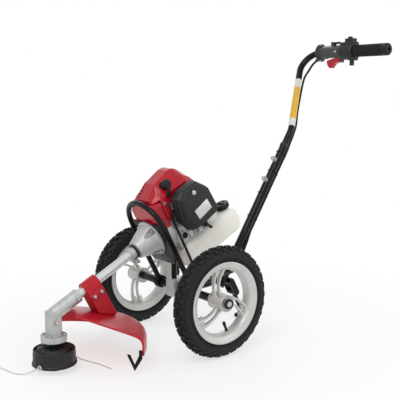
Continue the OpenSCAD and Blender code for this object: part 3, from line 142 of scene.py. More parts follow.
# cloudMm is the width of a patch of colour, grainMm that of the surface's grain
# blasting marks, mould texture, tool lines and zinc crystals are 0.05 to 0.2 mm wide, which is too fine to
# show here, so they are drawn at 0.5 to 0.9
finishes = {
    # butyl rubber tyre, moulded: dull black with a grey bloom
    "tyre": finish("butylTyreRubber", dark="#0c0c0d", light="#171718", rough=(0.55, 0.72), cloudMm=18,
                   grainMm=1.6, bump=0.3, specular=0.3),
    # gravity-cast aluminium rim, silver lacquer: pale, satin, faint orange peel
    "rim": finish("silverLacquerCastRim", dark="#bcbdba", light="#c9cac7", rough=(0.4, 0.5), cloudMm=40,
                  grainMm=2.2, bump=0.06, metallic=0.5, specular=0.4),
    # die-cast aluminium, bead blasted: light grey with a fine sparkle
    "cast": finish("blastedDieCast", dark="#aaacab", light="#bfc1c0", rough=(0.42, 0.54), cloudMm=16,
                   grainMm=0.9, bump=0.22, metallic=0.55),
    # drawn aluminium tube, clear anodised: bright, with drawing lines along its length
    "tube": finish("anodisedDriveTube", dark="#c3c5c5", light="#cfd1d1", rough=(0.3, 0.38), cloudMm=40,
                   grainMm=1.6, bump=0.03, metallic=0.6, turn=(-math.radians(layout["tilt"]), 0, 0),
                   stretch=(1, 0.03, 1)),
    # steel tube, black powder coat: deep black, half gloss, orange peel
    "coat": finish("blackPowderCoat", dark="#060607", light="#0d0d0e", rough=(0.16, 0.24), cloudMm=24,
                   grainMm=1.8, bump=0.05, specular=0.2),
    # ABS, gloss moulded and through-coloured: clear crimson, sharp highlights
    "redGloss": finish("crimsonGlossAbs", dark="#a80a1e", light="#b91126", rough=(0.14, 0.22), cloudMm=45,
                       grainMm=6, bump=0.04, specular=0.3,
                       sockets={"Coat Weight": 0.12, "Coat Roughness": 0.06}),
    # polypropylene guard, satin moulded: red that pales a little
    "redSatin": finish("redPolypropylene", dark="#ad1022", light="#bf1a2d", rough=(0.26, 0.36), cloudMm=60,
                       grainMm=1.4, bump=0.06, ior=1.49, specular=0.3),
    # glass-filled nylon, spark-eroded mould texture: charcoal
    "black": finish("texturedBlackNylon", dark="#131516", light="#1c1e1f", rough=(0.42, 0.54), cloudMm=14,
                    grainMm=0.8, bump=0.25, ior=1.53, specular=0.32),
    # the same nylon in grey, on the throttle casing
    "grey": finish("texturedGreyNylon", dark="#36393a", light="#3f4243", rough=(0.42, 0.52), cloudMm=14,
                   grainMm=0.8, bump=0.2, ior=1.53, specular=0.35),
    # blow-moulded polythene: milky, light goes a little way in
    "milk": finish("milkyPolythene", dark="#e6e4da", light="#f2f1ea", rough=(0.3, 0.42), cloudMm=50,
                   grainMm=3, bump=0.06, ior=1.51,
                   sockets={"Subsurface Weight": 0.35, "Subsurface Scale": 0.004,
                            "Subsurface Radius": (1.0, 0.95, 0.85)}),
    # soft moulded rubber of grips, boots and sheaths: dull black
    "rubber": finish("softBlackRubber", dark="#0a0a0b", light="#141415", rough=(0.5, 0.66), cloudMm=10,
                     grainMm=0.9, bump=0.25, specular=0.3),
    # bright zinc plate on bolts: silver with a warm cast
    "zinc": finish("brightZincPlate", dark="#a6a49c", light="#c9c7c0", rough=(0.24, 0.4), cloudMm=5,
                   grainMm=0.5, bump=0.1, metallic=1.0),
    # turned steel of shafts and bearings: cool grey, fairly bright
    "steel": finish("turnedSteel", dark="#8e9092", light="#b3b5b7", rough=(0.2, 0.34), cloudMm=6,
                    grainMm=0.6, bump=0.1, metallic=1.0),
    # silencer sheet in heat-proof paint: brownish black, dry
    "heat": finish("heatproofBlackSheet", dark="#1a1918", light="#302d2a", rough=(0.55, 0.75), cloudMm=12,
                   grainMm=1.0, bump=0.3),
    # extruded nylon cutting line: pale straw, smooth
    "nylon": finish("clearNylonLine", dark="#bdb9ad", light="#d8d5ca", rough=(0.25, 0.35), cloudMm=12,
                    grainMm=2, bump=0.05),
    # glazed insulator: white and shiny
    "glaze": finish("glazedInsulator", dark="#e6e4de", light="#f2f1ec", rough=(0.08, 0.14), cloudMm=8,
                    grainMm=2, bump=0.03),
    # open foam of the filter, oiled: dull yellow, coarse
    "foam": finish("oiledFilterFoam", dark="#6e6545", light="#948a63", rough=(0.85, 0.95), cloudMm=6,
                   grainMm=1.4, bump=0.8),
    # plain vinyl film of the handle's bands, and a plain foil plate
    "amber": finish("plainAmberFilm", dark="#d9a625", light="#e6b93a", rough=(0.3, 0.42), cloudMm=30,
                    grainMm=3, bump=0.05),
    "pale": finish("plainPaleFilm", dark="#cfcfc8", light="#e2e2dc", rough=(0.3, 0.42), cloudMm=30,
                   grainMm=3, bump=0.05),
    "plate": finish("plainFoilPlate", dark="#b9bbb9", light="#d3d4d2", rough=(0.3, 0.45), cloudMm=12,
                    grainMm=1.2, bump=0.12, metallic=0.55),
}
slotFinish = {
    "cast_rim": "rim", "cast_silver": "cast", "steel": "steel", "zinc": "zinc", "black_tube": "coat",
    "silver_tube": "tube", "red_shell": "redGloss", "red_guard": "redSatin", "black_plastic": "black",
    "grey_plastic": "grey", "tank_white": "milk", "tyre_black": "tyre", "rubber_black": "rubber",
    "porcelain": "glaze", "foam": "foam", "line_nylon": "nylon", "muffler_black": "heat"}
finishSlot = {value: key for key, value in slotFinish.items()}
finishSlot.update(amber="red_guard", pale="tank_white", plate="silver_tube")
for sub in frame["record"]["subparts"]:
    node = frame["nodes"][sub["node"]]
    node.data.materials.clear()
    node.data.materials.append(finishes[slotFinish[sub["material_slot"]]])
print("finishes:", len(finishes))


# mesh helpers

def makeObject(name, mesh, finishName):
    obj = bpy.data.objects.new(name, mesh)
    scene.collection.objects.link(obj)
    mesh.materials.clear()
    mesh.materials.append(finishes[finishName])
    return obj


def meshOf(name, verts, faces, merge=0.0):
    bm = bmesh.new()
    points = [bm.verts.new(v) for v in verts]
    for f in faces:
        bm.faces.new([points[i] for i in f])
    if merge:
        bmesh.ops.remove_doubles(bm, verts=bm.verts, dist=merge)
        bmesh.ops.dissolve_degenerate(bm, edges=bm.edges, dist=merge / 10)
    bmesh.ops.recalc_face_normals(bm, faces=bm.faces)
    mesh = bpy.data.meshes.new(name)
    bm.to_mesh(mesh)
    bm.free()
    return mesh


def bake(obj):
    graph = bpy.context.evaluated_depsgraph_get()
    mesh = bpy.data.meshes.new_from_object(obj.evaluated_get(graph))
    obj.modifiers.clear()
    obj.data = mesh
    return mesh


def changed(obj, kind, **settings):
    # one modifier, set and applied
    mod = obj.modifiers.new(kind.lower(), kind)
    for key, value in settings.items():
        setattr(mod, key, value)
    bake(obj)


def rounded(obj, width, segments, angle):
    changed(obj, "BEVEL", width=width, segments=segments, limit_method="ANGLE",
            angle_limit=math.radians(angle))


def moulded(obj, voxel, smooth):
    # runs all the volumes of a piece together, with the soft corners of a mould
    changed(obj, "REMESH", mode="VOXEL", voxel_size=voxel)
    changed(obj, "SMOOTH", iterations=smooth, factor=0.5)


def carved(obj, cutters):
    for mesh in cutters:
        tool = bpy.data.objects.new("tool", mesh)
        scene.collection.objects.link(tool)
        changed(obj, "BOOLEAN", operation="DIFFERENCE", object=tool, solver="EXACT")
        bpy.data.objects.remove(tool)


def shade(obj, angle):
    obj.data.polygons.foreach_set("use_smooth", [True] * len(obj.data.polygons))
    obj.data.set_sharp_from_angle(angle=math.radians(angle))


def settle(obj, matrix, body, finishName, replaced=None, angle=38):
    obj.data.transform(matrix)
    if not obj.data.materials:
        obj.data.materials.append(finishes[finishName])
    shade(obj, angle)
    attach(obj, body)
    if replaced:
        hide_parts(replaced)
    return obj


def joined(name, meshes):
    bm = bmesh.new()
    for m in meshes:
        bm.from_mesh(m)
    mesh = bpy.data.meshes.new(name)
    bm.to_mesh(mesh)
    bm.free()
    return mesh


def piece(name, meshes, finishName, matrix, body="frame", replaced=None, angle=38):
    obj = makeObject(name, joined(name, meshes), finishName)
    return settle(obj, matrix, body, finishName, replaced, angle)


def moved(mesh, matrix):
    out = mesh.copy()
    out.transform(matrix)
    return out


def spun(name, profile, steps, turn=360, start=0):
    # profile points are (radius, along the axis); a part turn is closed at its two ends
    count = steps if turn == 360 else steps + 1
    n = len(profile)
    verts = []
    faces = []
    for k in range(count):
        verts += [(*polar(r, start + turn * k / steps), z) for r, z in profile]
    for k in range(steps):
        m = (k + 1) % count
        faces += [(k * n + i, m * n + i, m * n + (i + 1) % n, k * n + (i + 1) % n) for i in range(n)]
    if count > steps:
        faces += [tuple(range(n)), tuple(range(steps * n, count * n))]
    return meshOf(name, verts, faces, 1e-4)


def stacked(name, rows):
    # skin over rings of points, closed at both ends
    n = len(rows[0])
    last = len(rows) - 1
    faces = [(i * n + k, i * n + (k + 1) % n, (i + 1) * n + (k + 1) % n, (i + 1) * n + k)
             for i in range(last) for k in range(n)]
    faces += [tuple(range(n)), tuple(range(last * n, last * n + n))]
    return meshOf(name, [p for row in rows for p in row], faces)


def swept(name, path, section, up=Vector((0, 0, 1)), sizes=None):
    # section points are (sideways, upwards) round the path
    points = [Vector(p) for p in path]
    rows = []
    for i, p in enumerate(points):
        t = (points[min(i + 1, len(points) - 1)] - points[max(i - 1, 0)]).normalized()
        side = t.cross(up).normalized()
        top = side.cross(t)
        size = sizes[i] if sizes else 1.0
        rows.append([p + side * (a * size) + top * (b * size) for a, b in section])
    return stacked(name, rows)


def prism(name, outline, low, high, axis="Z"):
    # a flat outline made thick along the axis; for X it is drawn in Y and Z, for Y in X and Z
    def at(p, h):
        return {"Z": (p[0], p[1], h), "X": (h, p[0], p[1]), "Y": (p[0], h, p[1])}[axis]
    return stacked(name, [[at(p, h) for p in outline] for h in (low, high)])


def boxMesh(low, high):
    outline = [(low[0], low[1]), (high[0], low[1]), (high[0], high[1]), (low[0], high[1])]
    return prism("block", outline, low[2], high[2])


def tubeAt(point, direction, d, long):
    return moved(spun("bar", [(0, 0), (d / 2, 0), (d / 2, long), (0, long)], 40), aimed(point, direction))


def ringBar(name, inner, outer, low, high, edge):
    # a turned ring along Z with broken edges
    return spun(name, [(inner, low), (outer - edge, low), (outer, low + edge), (outer, high - edge),
                       (outer - edge, high), (inner, high)], 64)


def mirrored(half, middle=()):
    return half + list(middle) + [(r, -z) for r, z in reversed(half)]


def roundSection(d, sides):
    return [polar(d / 2, 360 * k / sides) for k in range(sides)]


def ovalSection(w, h, sides=20, power=0.7):
    def push(v):
        return math.copysign(abs(v) ** power, v)
    return [(w / 2 * push(c), h / 2 * push(s)) for c, s in roundSection(2, sides)]


def smoothPath(points, steps):
    pts = [Vector(p) for p in points]
    out = []
    for i in range(len(pts) - 1):
        a, b = pts[max(0, i - 1)], pts[i]
        c, d = pts[i + 1], pts[min(len(pts) - 1, i + 2)]
        for k in range(steps):
            t = k / steps
            out.append(0.5 * (2 * b + (c - a) * t + (2 * a - 5 * b + 4 * c - d) * t * t
                              + (3 * b - a - 3 * c + d) * t ** 3))
    return out + [pts[-1]]


def bentPath(points, radius, step):
    # straight runs with round bends; step is degrees from point to point in a bend
    pts = [Vector(p) for p in points]
    out = [pts[0]]
    for i in range(1, len(pts) - 1):
        u = (pts[i] - pts[i - 1]).normalized()
        v = (pts[i + 1] - pts[i]).normalized()
        turn = u.angle(v)
        n = (v - u * u.dot(v)).normalized()
        c = pts[i] - u * radius * math.tan(turn / 2) + n * radius
        steps = max(2, math.ceil(math.degrees(turn) / step))
        out += [c - n * radius * math.cos(turn * k / steps) + u * radius * math.sin(turn * k / steps)
                for k in range(steps + 1)]
    return out + [pts[-1]]


def cadCopy(node, matrix):
    # a merged copy of a solid's mesh, back in the drawing's own millimetres
    mesh = frame["nodes"][node].data.copy()
    mesh.transform(matrix.inverted())
    bm = bmesh.new()
    bm.from_mesh(mesh)
    bmesh.ops.remove_doubles(bm, verts=bm.verts, dist=0.004)
    bm.to_mesh(mesh)
    bm.free()
    return mesh


def skinned(name, node, matrix, finishName, voxel, smooth, extras=(), thin=0.5, body="frame", angle=50):
    # soft-edged casting or moulding: the solid's own form with its small features added
    obj = makeObject(name, joined(name, [cadCopy(node, matrix), *extras]), finishName)
    moulded(obj, voxel, smooth)
    changed(obj, "DECIMATE", ratio=thin)
    obj.data.materials.clear()
    return settle(obj, matrix, body, finishName, node, angle)


# repeats: one part set round an axis, or along a line

def repeatTree(kind):
    tree = bpy.data.node_groups.new(kind, "GeometryNodeTree")
    sockets = [("Geometry", "Geometry"), ("Part", "Object"), ("Count", "Int"), ("Turn", "Float"),
               ("Step", "Vector"), ("Finish", "Material")]
    for name, socket in sockets:
        tree.interface.new_socket(name=name, in_out="INPUT", socket_type="NodeSocket" + socket)
    tree.interface.new_socket(name="Geometry", in_out="OUTPUT", socket_type="NodeSocketGeometry")
    given = addNode(tree, "NodeGroupInput").outputs
    index = addNode(tree, "GeometryNodeInputIndex").outputs[0]
    turn = addNode(tree, "ShaderNodeMath", {0: index, 1: given["Turn"]}, operation="MULTIPLY")
    spin = addNode(tree, "ShaderNodeCombineXYZ", {"Z": turn.outputs[0]})
    along = addNode(tree, "ShaderNodeVectorMath", {0: given["Step"], "Scale": index}, operation="SCALE")
    points = addNode(tree, "GeometryNodePoints", {"Count": given["Count"], "Position": along.outputs[0]})
    part = addNode(tree, "GeometryNodeObjectInfo", {"Object": given["Part"]})
    each = addNode(tree, "GeometryNodeInstanceOnPoints", {
        "Points": points.outputs[0], "Instance": part.outputs["Geometry"], "Rotation": spin.outputs[0]})
    solid = addNode(tree, "GeometryNodeRealizeInstances", {"Geometry": each.outputs[0]})
    painted = addNode(tree, "GeometryNodeSetMaterial", {
        "Geometry": solid.outputs[0], "Material": given["Finish"]})
    addNode(tree, "NodeGroupOutput", {"Geometry": painted.outputs[0]})
    return tree


repeats = repeatTree("setOut")


def setOut(name, part, count, finishName, turn, step=(0, 0, 0)):
    # returns the repeated mesh; turn is degrees from one to the next about Z
    sample = bpy.data.objects.new(name + "Sample", part)
    scene.collection.objects.link(sample)
    holder = bpy.data.objects.new(name, bpy.data.meshes.new(name))
    scene.collection.objects.link(holder)
    mod = holder.modifiers.new("setOut", "NODES")
    mod.node_group = repeats
    ids = {s.name: s.identifier for s in repeats.interface.items_tree if s.in_out == "INPUT"}
    given = dict(Part=sample, Count=count, Turn=math.radians(turn), Step=step, Finish=finishes[finishName])
    for key, value in given.items():
        mod[ids[key]] = value
    bpy.context.view_layer.update()
    mesh = bake(holder)
    bpy.data.objects.remove(holder)
    bpy.data.objects.remove(sample)
    return mesh


def ribRing(name, spec, finishName):
    # upright ribs round a turned piece
    rib = prism(name, spec["rib"], spec["ribFrom"], spec["ribTo"])
    rib.transform(shift((spec["ribR"], 0, 0)) @ turned(-90, "Z"))
    return setOut(name + "s", rib, spec["ribs"], finishName, 360 / spec["ribs"])


def hexBolt(across, head, washer=0.0, washerT=1.6):
    # head stands up from z 0, on a washer, with a turned chamfer
    r = across / 2 / math.cos(math.radians(30))
    lift = washerT if washer else 0
    rows = [[(*polar(r * share, 60 * k), z + lift) for k in range(6)]
            for z, share in ((0, 1.0), (head * 0.78, 1.0), (head, 0.84))]
    parts = [stacked("hexHead", rows)]
    if washer:
        w = washer / 2
        parts.append(spun("washer", [(0, 0), (w - 0.4, 0), (w, 0.4), (w, washerT - 0.3), (w - 0.4, washerT),
                                     (0, washerT)], 32))
    return joined("bolt", parts)


# across the flats, height of the head, washer, washer's thickness
boltSizes = dict(m10=(17, 7, 32, 2), m8=(13, 6), m6=(10, 5, 14), m6flange=(10, 5, 13), m5=(8, 4, 11, 1.2),
                 m5case=(8, 4.2, 11, 1.2), m5pinch=(8, 5, 11, 1.2), m4=(6, 3, 9, 1.0), m3=(5.5, 2.6, 8, 0.8),
                 headNut=(22, 7))


def boltAt(size, matrix):
    return moved(hexBolt(*boltSizes[size]), matrix)


def boltRing(name, size, radius, z=0.0):
    # four bolts on the corners of a square
    return moved(setOut(name, boltAt(size, shift((radius, 0, z))), 4, "zinc", 90), turned(45, "Z"))


# camera at the photograph's angle
view = dict(lens=65.55, place=(1.703087, -1.376481, 0.729468), right=(0.62325, 0.78202, -0.00124),
            up=(-0.11222, 0.09100, 0.98951), back=(0.77393, -0.61657, 0.14447))
camera = bpy.data.objects.new("camera", bpy.data.cameras.new("camera"))
scene.collection.objects.link(camera)
camera.data.sensor_width = 36.0
camera.data.lens = view["lens"]
camera.data.clip_end = 50
axes = Matrix((view["right"], view["up"], view["back"])).transposed()
camera.matrix_world = shift(view["place"]) @ axes.to_4x4()
scene.camera = camera

# the two nylon line ends, from the drum's eyelets down to the ground
lineEnds = dict(diameter=3.0, route=[
    (-22, 52, 22), (-20, 60, 20), (-14, 69, 15), (-4, 80, 8), (10, 91, 4), (26, 99, 2.5), (44, 105, 2.5),
    (63, 109, 2.5), (82, 112, 2.5), (101, 114, 2.5)])
for name, node, turn in (("rearLineEnd", "rear_line", 0), ("frontLineEnd", "front_line", 180)):
    path = [spindleM @ turned(turn, "Z") @ p for p in smoothPath(lineEnds["route"], 6)]
    tube = swept(name, path, roundSection(lineEnds["diameter"] * 0.001, 10))
    line = piece(name, [tube], "nylon", Matrix.Identity(4), "head", node, 60)
print("camera and line ends")

# wheels: each knob is angle on the section, half pitches round, width, length, top
tyre = dict(ring=131, halfWidth=25.5, crown=20.9, bead=138, pitch=32, knobRoot=20.4, knobEdge=1.2,
            knobs=[(-14, 0, 11, 13.4, 27.0), (14, 1, 11, 13.4, 27.0), (-43, 1, 10, 13.2, 26.8),
                   (43, 0, 10, 13.2, 26.8), (-69, 0, 8.5, 12.5, 26.4), (69, 1, 8.5, 12.5, 26.4)],
            wallLines=[(119, 24.3), (122.5, 25.1)])
rim = dict(arms=3, sweep=-34, bow=17, armWide=6.8, armDeep=13, first=217, spreadIn=22, spreadOut=7.5,
           hubR=21, bedR=95, webSpread=(-9, -4.5, 0, 4.5, 9), webIn=(74, 81, 83, 81, 74), webOut=94.5,
           webHalf=3.2,
           well=[(115.5, 24.2), (114.4, 24.5), (111.5, 24.5), (108.5, 22.5), (104.5, 21.2), (99.5, 19.5),
                 (95.2, 15), (92.6, 9), (91.2, 4.5)],
           bed=[(115.5, -22.2), (112, -21.6), (108.5, -19), (104, -13)], bedMiddle=(102.5, 0),
           hub=[(12.5, -28), (21.5, -28), (21.5, -29.6), (23.4, -29.6), (24, -28.8), (24, -12)],
           hubMiddle=(24.6, 0))
valve = dict(turn=14, r=92.5, lean=14, profile=[
    (0, 0), (4.8, 0), (4.8, 3), (3.8, 5), (3.8, 16), (4.6, 17), (4.6, 26), (3.6, 28), (0, 28)])
hubSeal = dict(profile=[(11.2, 24.5), (20.9, 24.5), (20.9, 29.0), (19.5, 29.7), (13, 29.2), (11.2, 28.4)])


def knobMesh(at, halves, width, length, top):
    # a block standing square on the section at an angle, its top a little smaller
    c, s = polar(1, at)
    out = Vector((c, 0, s))
    side = Vector((-s, 0, c)) * width / 2
    around = yAxis * length / 2
    base = Vector((tyre["ring"], 0, 0)) + out * tyre["knobRoot"]
    high = top - tyre["knobRoot"]
    corners = ((-1, -1), (1, -1), (1, 1), (-1, 1))
    rows = [[base + out * rise + (side * u + around * v) * share for u, v in corners]
            for rise, share in ((0, 1.1), (high - tyre["knobEdge"], 1.0), (high, 0.84))]
    return moved(stacked("knob", rows), turned(halves * 180 / tyre["pitch"], "Z"))


def tyreMesh():
    profile = []
    for k in range(41):
        c, s = polar(1, tyre["bead"] * (k / 20 - 1))
        profile.append((tyre["ring"] + tyre["crown"] * c, tyre["halfWidth"] * s))
    row = joined("knobRow", [knobMesh(*knob) for knob in tyre["knobs"]])
    knobs = setOut("treadKnobs", row, tyre["pitch"], "tyre", 360 / tyre["pitch"])
    # two moulded lines on each wall
    walls = []
    for s in (-1, 1):
        for r, z in tyre["wallLines"]:
            line = [(r, s * z), (r + 0.7, s * (z + 0.9)), (r + 1.7, s * (z + 0.9)), (r + 2.4, s * z)]
            walls.append(spun("wallLine", line, 120))
    return joined("tyre", [spun("carcass", profile, 144), knobs] + walls)


def rimMesh():
    barrel = spun("barrel", mirrored(rim["well"]) + mirrored(rim["bed"], [rim["bedMiddle"]]), 144)
    section = ovalSection(rim["armWide"], rim["armDeep"])
    parts = []
    for off in (-1, 1):
        a = Vector((*polar(rim["hubR"], off * rim["spreadIn"]), 0))
        b = Vector((*polar(rim["bedR"], rim["sweep"] + off * rim["spreadOut"]), 0))
        d = b - a
        mid = (a + b) / 2 + Vector((-d.y, d.x, 0)).normalized() * rim["bow"]
        path = [a * (1 - t) ** 2 + mid * 2 * t * (1 - t) + b * t * t for t in [k / 20 for k in range(21)]]
        # slim in the middle, broad where it meets hub and rim
        sizes = [1.22 - 0.3 * math.sin(math.pi * min(1, k / 15)) + 0.09 * max(0, k - 15) for k in range(21)]
        parts.append(swept("arm", path, section, sizes=sizes))
    # the web that joins the two arms of a pair at the rim
    turns = [rim["sweep"] + s for s in rim["webSpread"]]
    web = [polar(rim["webOut"], a) for a in turns]
    web += [polar(r, a) for r, a in zip(rim["webIn"], reversed(turns))]
    parts.append(prism("armWeb", web, -rim["webHalf"], rim["webHalf"]))
    pairs = setOut("armPairs", joined("armPair", parts), rim["arms"], "rim", 360 / rim["arms"])
    hub = spun("hub", mirrored(rim["hub"], [rim["hubMiddle"]]), 64)
    return joined("rim", [barrel, moved(pairs, turned(rim["first"], "Z")), hub])


tyreShape = tyreMesh()
rimShape = rimMesh()
valvePlace = turned(valve["turn"], "Z") @ shift((valve["r"], 0, 0)) @ turned(-90 - valve["lean"], "Y")
valveShape = moved(spun("valve", valve["profile"], 20), valvePlace)
sealShape = spun("hubSeal", hubSeal["profile"], 48)
for side, word in ((1, "left"), (-1, "right")):
    wheelM = axleM @ axleSide(side, layout["wheelX"])
    body = word + "_wheel"
    piece(word + "Tyre", [tyreShape], "tyre", wheelM, body, word + "_tyre", 34)
    piece(word + "Rim", [rimShape], "rim", wheelM, body, word + "_rim", 40)
    piece(word + "Valve", [valveShape], "rubber", wheelM, body)
    piece(word + "HubSeal", [sealShape], "rubber", wheelM, body)
print("wheels")

# tube frame, welded
hoop = dict(axleS=366.02, axleH=-182.6, r=84, d=16, rise=32, footUp=8, eye=(12.1, 19, -10, 10, 1.2),
            plateT=5, plateHole=20, plate=[(-79, 50), (79, 50), (79, -20), (50, -86), (-50, -86), (-79, -20)],
            weldIn=6.8, weldFace=3.4, weldTop=20, weldStep=2.2, weldD=4.4, footWeldR=8.6, footWeldUp=18.4,
            footWeldD=4.2)
stem = dict(foot=Vector((0, 168, 130)), lean=57.4, long=515, collar=(11.3, 14.2, -9, 1.2, 1.2))
leanC, leanS = polar(1, stem["lean"])
stemDir = Vector((0, leanC, leanS))
stemBack = Vector((0, leanS, -leanC))


def onStem(up, back=0.0, x=0.0):
    return stem["foot"] + stemDir * up + stemBack * back + xAxis * x


def weldRun(path, d, up=Vector((0, 0, 1))):
    # overlapping puddles along a joint
    sizes = [1.0 + 0.16 * math.sin(k * 2.1) for k in range(len(path))]
    sizes[0] = sizes[-1] = 0.3
    return swept("weld", path, roundSection(d, 10), up, sizes)


def plateMesh():
    # engine plate with a round hole; each edge is a point on it and its outward normal
    corners = [Vector(c) for c in hoop["plate"]]
    edges = [(p, Vector((p.y - q.y, q.x - p.x))) for p, q in zip(corners, corners[1:] + corners[:1])]
    turns = {round(math.degrees(math.atan2(c.y, c.x)) % 360, 4) for c in corners}
    turns |= {k * 5.0 for k in range(72)}
    n = len(turns)
    front = hoop["axleS"] - hoop["plateT"] / 2
    back = hoop["axleS"] + hoop["plateT"] / 2
    verts = []
    faces = []
    for deg in sorted(turns):
        d = Vector(polar(1, deg))
        a = d * hoop["plateHole"]
        b = d * min(p.dot(out) / d.dot(out) for p, out in edges if d.dot(out) > 1e-6)
        verts += [(a.x, front, a.y), (b.x, front, b.y), (b.x, back, b.y), (a.x, back, a.y)]
    for k in range(n):
        m = (k + 1) % n
        faces += [(k * 4 + i, m * 4 + i, m * 4 + (i + 1) % 4, k * 4 + (i + 1) % 4) for i in range(4)]
    return meshOf("plate", verts, faces)


def hoopMesh():
    s, h, r = hoop["axleS"], hoop["axleH"], hoop["r"]
    arch = [polar(r, 180 - 3.75 * k) for k in range(49)]
    foot = h + hoop["footUp"]
    path = [(-r, s, foot)] + [(x, s, hoop["rise"] + up) for x, up in arch] + [(r, s, foot)]
    plate = makeObject("plateBlank", plateMesh(), "coat")
    rounded(plate, width=1.0, segments=2, angle=50)
    parts = [swept("hoopTube", path, roundSection(hoop["d"], 32), yAxis), plate.data]
    bpy.data.objects.remove(plate)
    for side in (-1, 1):
        x = side * r
        parts.append(moved(ringBar("eye", *hoop["eye"]), shift((x, s, h)) @ alongX))
        inner = x - side * hoop["weldIn"]
        heights = [hoop["weldTop"] - hoop["weldStep"] * k for k in range(18)]
        for face in (-hoop["weldFace"], hoop["weldFace"]):
            parts.append(weldRun([(inner, s + face, up) for up in heights], hoop["weldD"], yAxis))
        circle = [polar(hoop["footWeldR"], 12 * k) for k in range(31)]
        parts.append(weldRun([(x + a, s + b, h + hoop["footWeldUp"]) for a, b in circle], hoop["footWeldD"]))
    return parts


piece("weldedHoop", hoopMesh(), "coat", shaftM, "frame", "hoop_frame", 40)

spine = dict(d=25, start=(0, 18, 158), knee=(0, 100, 146), stemUp=35, bend=200, weldBack=15.5, weldR=13.2,
             weldD=4.6, weldSaddle=2.2)
path = bentPath([spine["start"], spine["knee"], onStem(spine["stemUp"])], spine["bend"], 2)
t = (path[-1] - path[-2]).normalized()
top = xAxis.cross(t)
mid = path[-1] - t * spine["weldBack"]
weld = [mid + (xAxis * c + top * s) * spine["weldR"] + t * (spine["weldSaddle"] * c * c)
        for c, s in [polar(1, 9 * k) for k in range(41)]]
tube = swept("spine", path, roundSection(spine["d"], 36), xAxis)
piece("spineTube", [tube, weldRun(weld, spine["weldD"], t)], "coat", axleM, "frame", "spine_tube", 40)

# plastic collar where the handle tube leaves the stem
collar = ringBar("collar", *stem["collar"])
piece("stemCollar", [moved(collar, aimed(onStem(stem["long"]), stemDir))], "black", axleM)

# handle tube, bent from one length, with its plain bands as shares of the sloping run
handle = dict(d=22, bend=56, start=335, kinkUp=569.5, elbowX=-128, endX=239, up=Vector((0.3, -0.6, 0.9)),
              bandD=22.5, bands=[("pale", 0.04, 0.13), ("amber", 0.13, 0.24), ("amber", 0.24, 0.53),
                                 ("pale", 0.53, 0.635)])
kink = onStem(handle["kinkUp"])
barMid = Vector((0, layout["barY"], layout["barZ"]))
elbow = barMid + xAxis * handle["elbowX"]
run = elbow - kink
path = bentPath([onStem(handle["start"]), kink, elbow, barMid + xAxis * handle["endX"]], handle["bend"], 3)
tube = swept("handleTube", path, roundSection(handle["d"], 36), handle["up"])
piece("handleTube", [tube], "coat", axleM, "frame", "handle_tube", 40)
for k, (film, a, b) in enumerate(handle["bands"]):
    path = [kink + run * share for share in (a, a + 0.002, b - 0.002, b)]
    band = swept("band", path, roundSection(handle["bandD"], 36), handle["up"], [0.985, 1, 1, 0.985])
    piece("plainBand%d" % (k + 1), [band], film, axleM)

# throttle cable in its sheath, then the loom that ties it to the stem
cable = dict(d=7.4, loomD=9.6, up=Vector((0.4, 1, -0.7)),
             fromBar=[(-42.8, 0, -24), (-54, 0, -24), (-78, 2, -37), (-94, -3, -60)],
             shares=[(0.66, -6, 33), (0.45, -6, 27), (0.22, -4, 22), (0.02, -1, 20)],
             stem=[(513, 20, 0), (453, 20.4, 0), (393, 20.4, 0), (333, 20.4, 0), (273, 20.4, 0),
                   (213, 20, 1), (163, 19, 9)],
             free=[(34, 222, 212), (52, 192, 192), (62, 138, 185), (67, 86, 187), (68, 46, 199)],
             rise=[(68, 412, -128), (68, 411, -62), (68, 411, 0), (67, 412, 34), (63, 423.5, 60),
                   (63, 431.2, 60)],
             ferrule=[(0, 0), (4.6, 0), (5.2, 0.8), (5.2, 9), (4.4, 10), (4.0, 22), (0, 22)],
             loomTop=(0.1, -2, 21), loomFoot=[(213, 20), (163, 20), (118, 20)],
             ties=(248, 331, 413, 483), tieR=13.6, tieOver=11.8)


def onRun(share, x, y):
    return kink + run * share + Vector((x, y, 0))


def tieMesh(up):
    # a strap round stem and cable
    path = []
    for k in range(49):
        c, s = polar(1, 7.5 * k)
        wide = cable["tieR"] * c * (1 - 0.3 * max(0, s))
        path.append(onStem(up, (cable["tieR"] + cable["tieOver"] * max(0, s)) * s, wide))
    return swept("tie", path, [(-1.8, -0.7), (1.8, -0.7), (1.8, 0.7), (-1.8, 0.7)], stemDir)


behindStem = [onStem(*p) for p in cable["stem"]]
route = [barMid + Vector(p) for p in cable["fromBar"]] + [onRun(*p) for p in cable["shares"]] + behindStem
route += [Vector(p) for p in cable["free"]] + [toAxle @ Vector(p) for p in cable["rise"]]
sheath = swept("sheath", smoothPath(route, 8), roundSection(cable["d"], 16), cable["up"])
ferrule = moved(spun("ferrule", cable["ferrule"], 28), aimed(route[0] + xAxis, -xAxis))
piece("throttleCable", [sheath, ferrule], "rubber", axleM, "frame", "throttle_cable", 40)
loomFoot = [onStem(*p) for p in cable["loomFoot"]]
path = smoothPath([onRun(*cable["loomTop"])] + behindStem[:5] + loomFoot, 10)
sizes = [min(1.0, 0.62 + 0.38 * min(k, len(path) - 1 - k) / 3) for k in range(len(path))]
loom = swept("loom", path, roundSection(cable["loomD"], 20), cable["up"], sizes)
piece("cableLoom", [loom] + [tieMesh(up) for up in cable["ties"]], "rubber", axleM, angle=40)

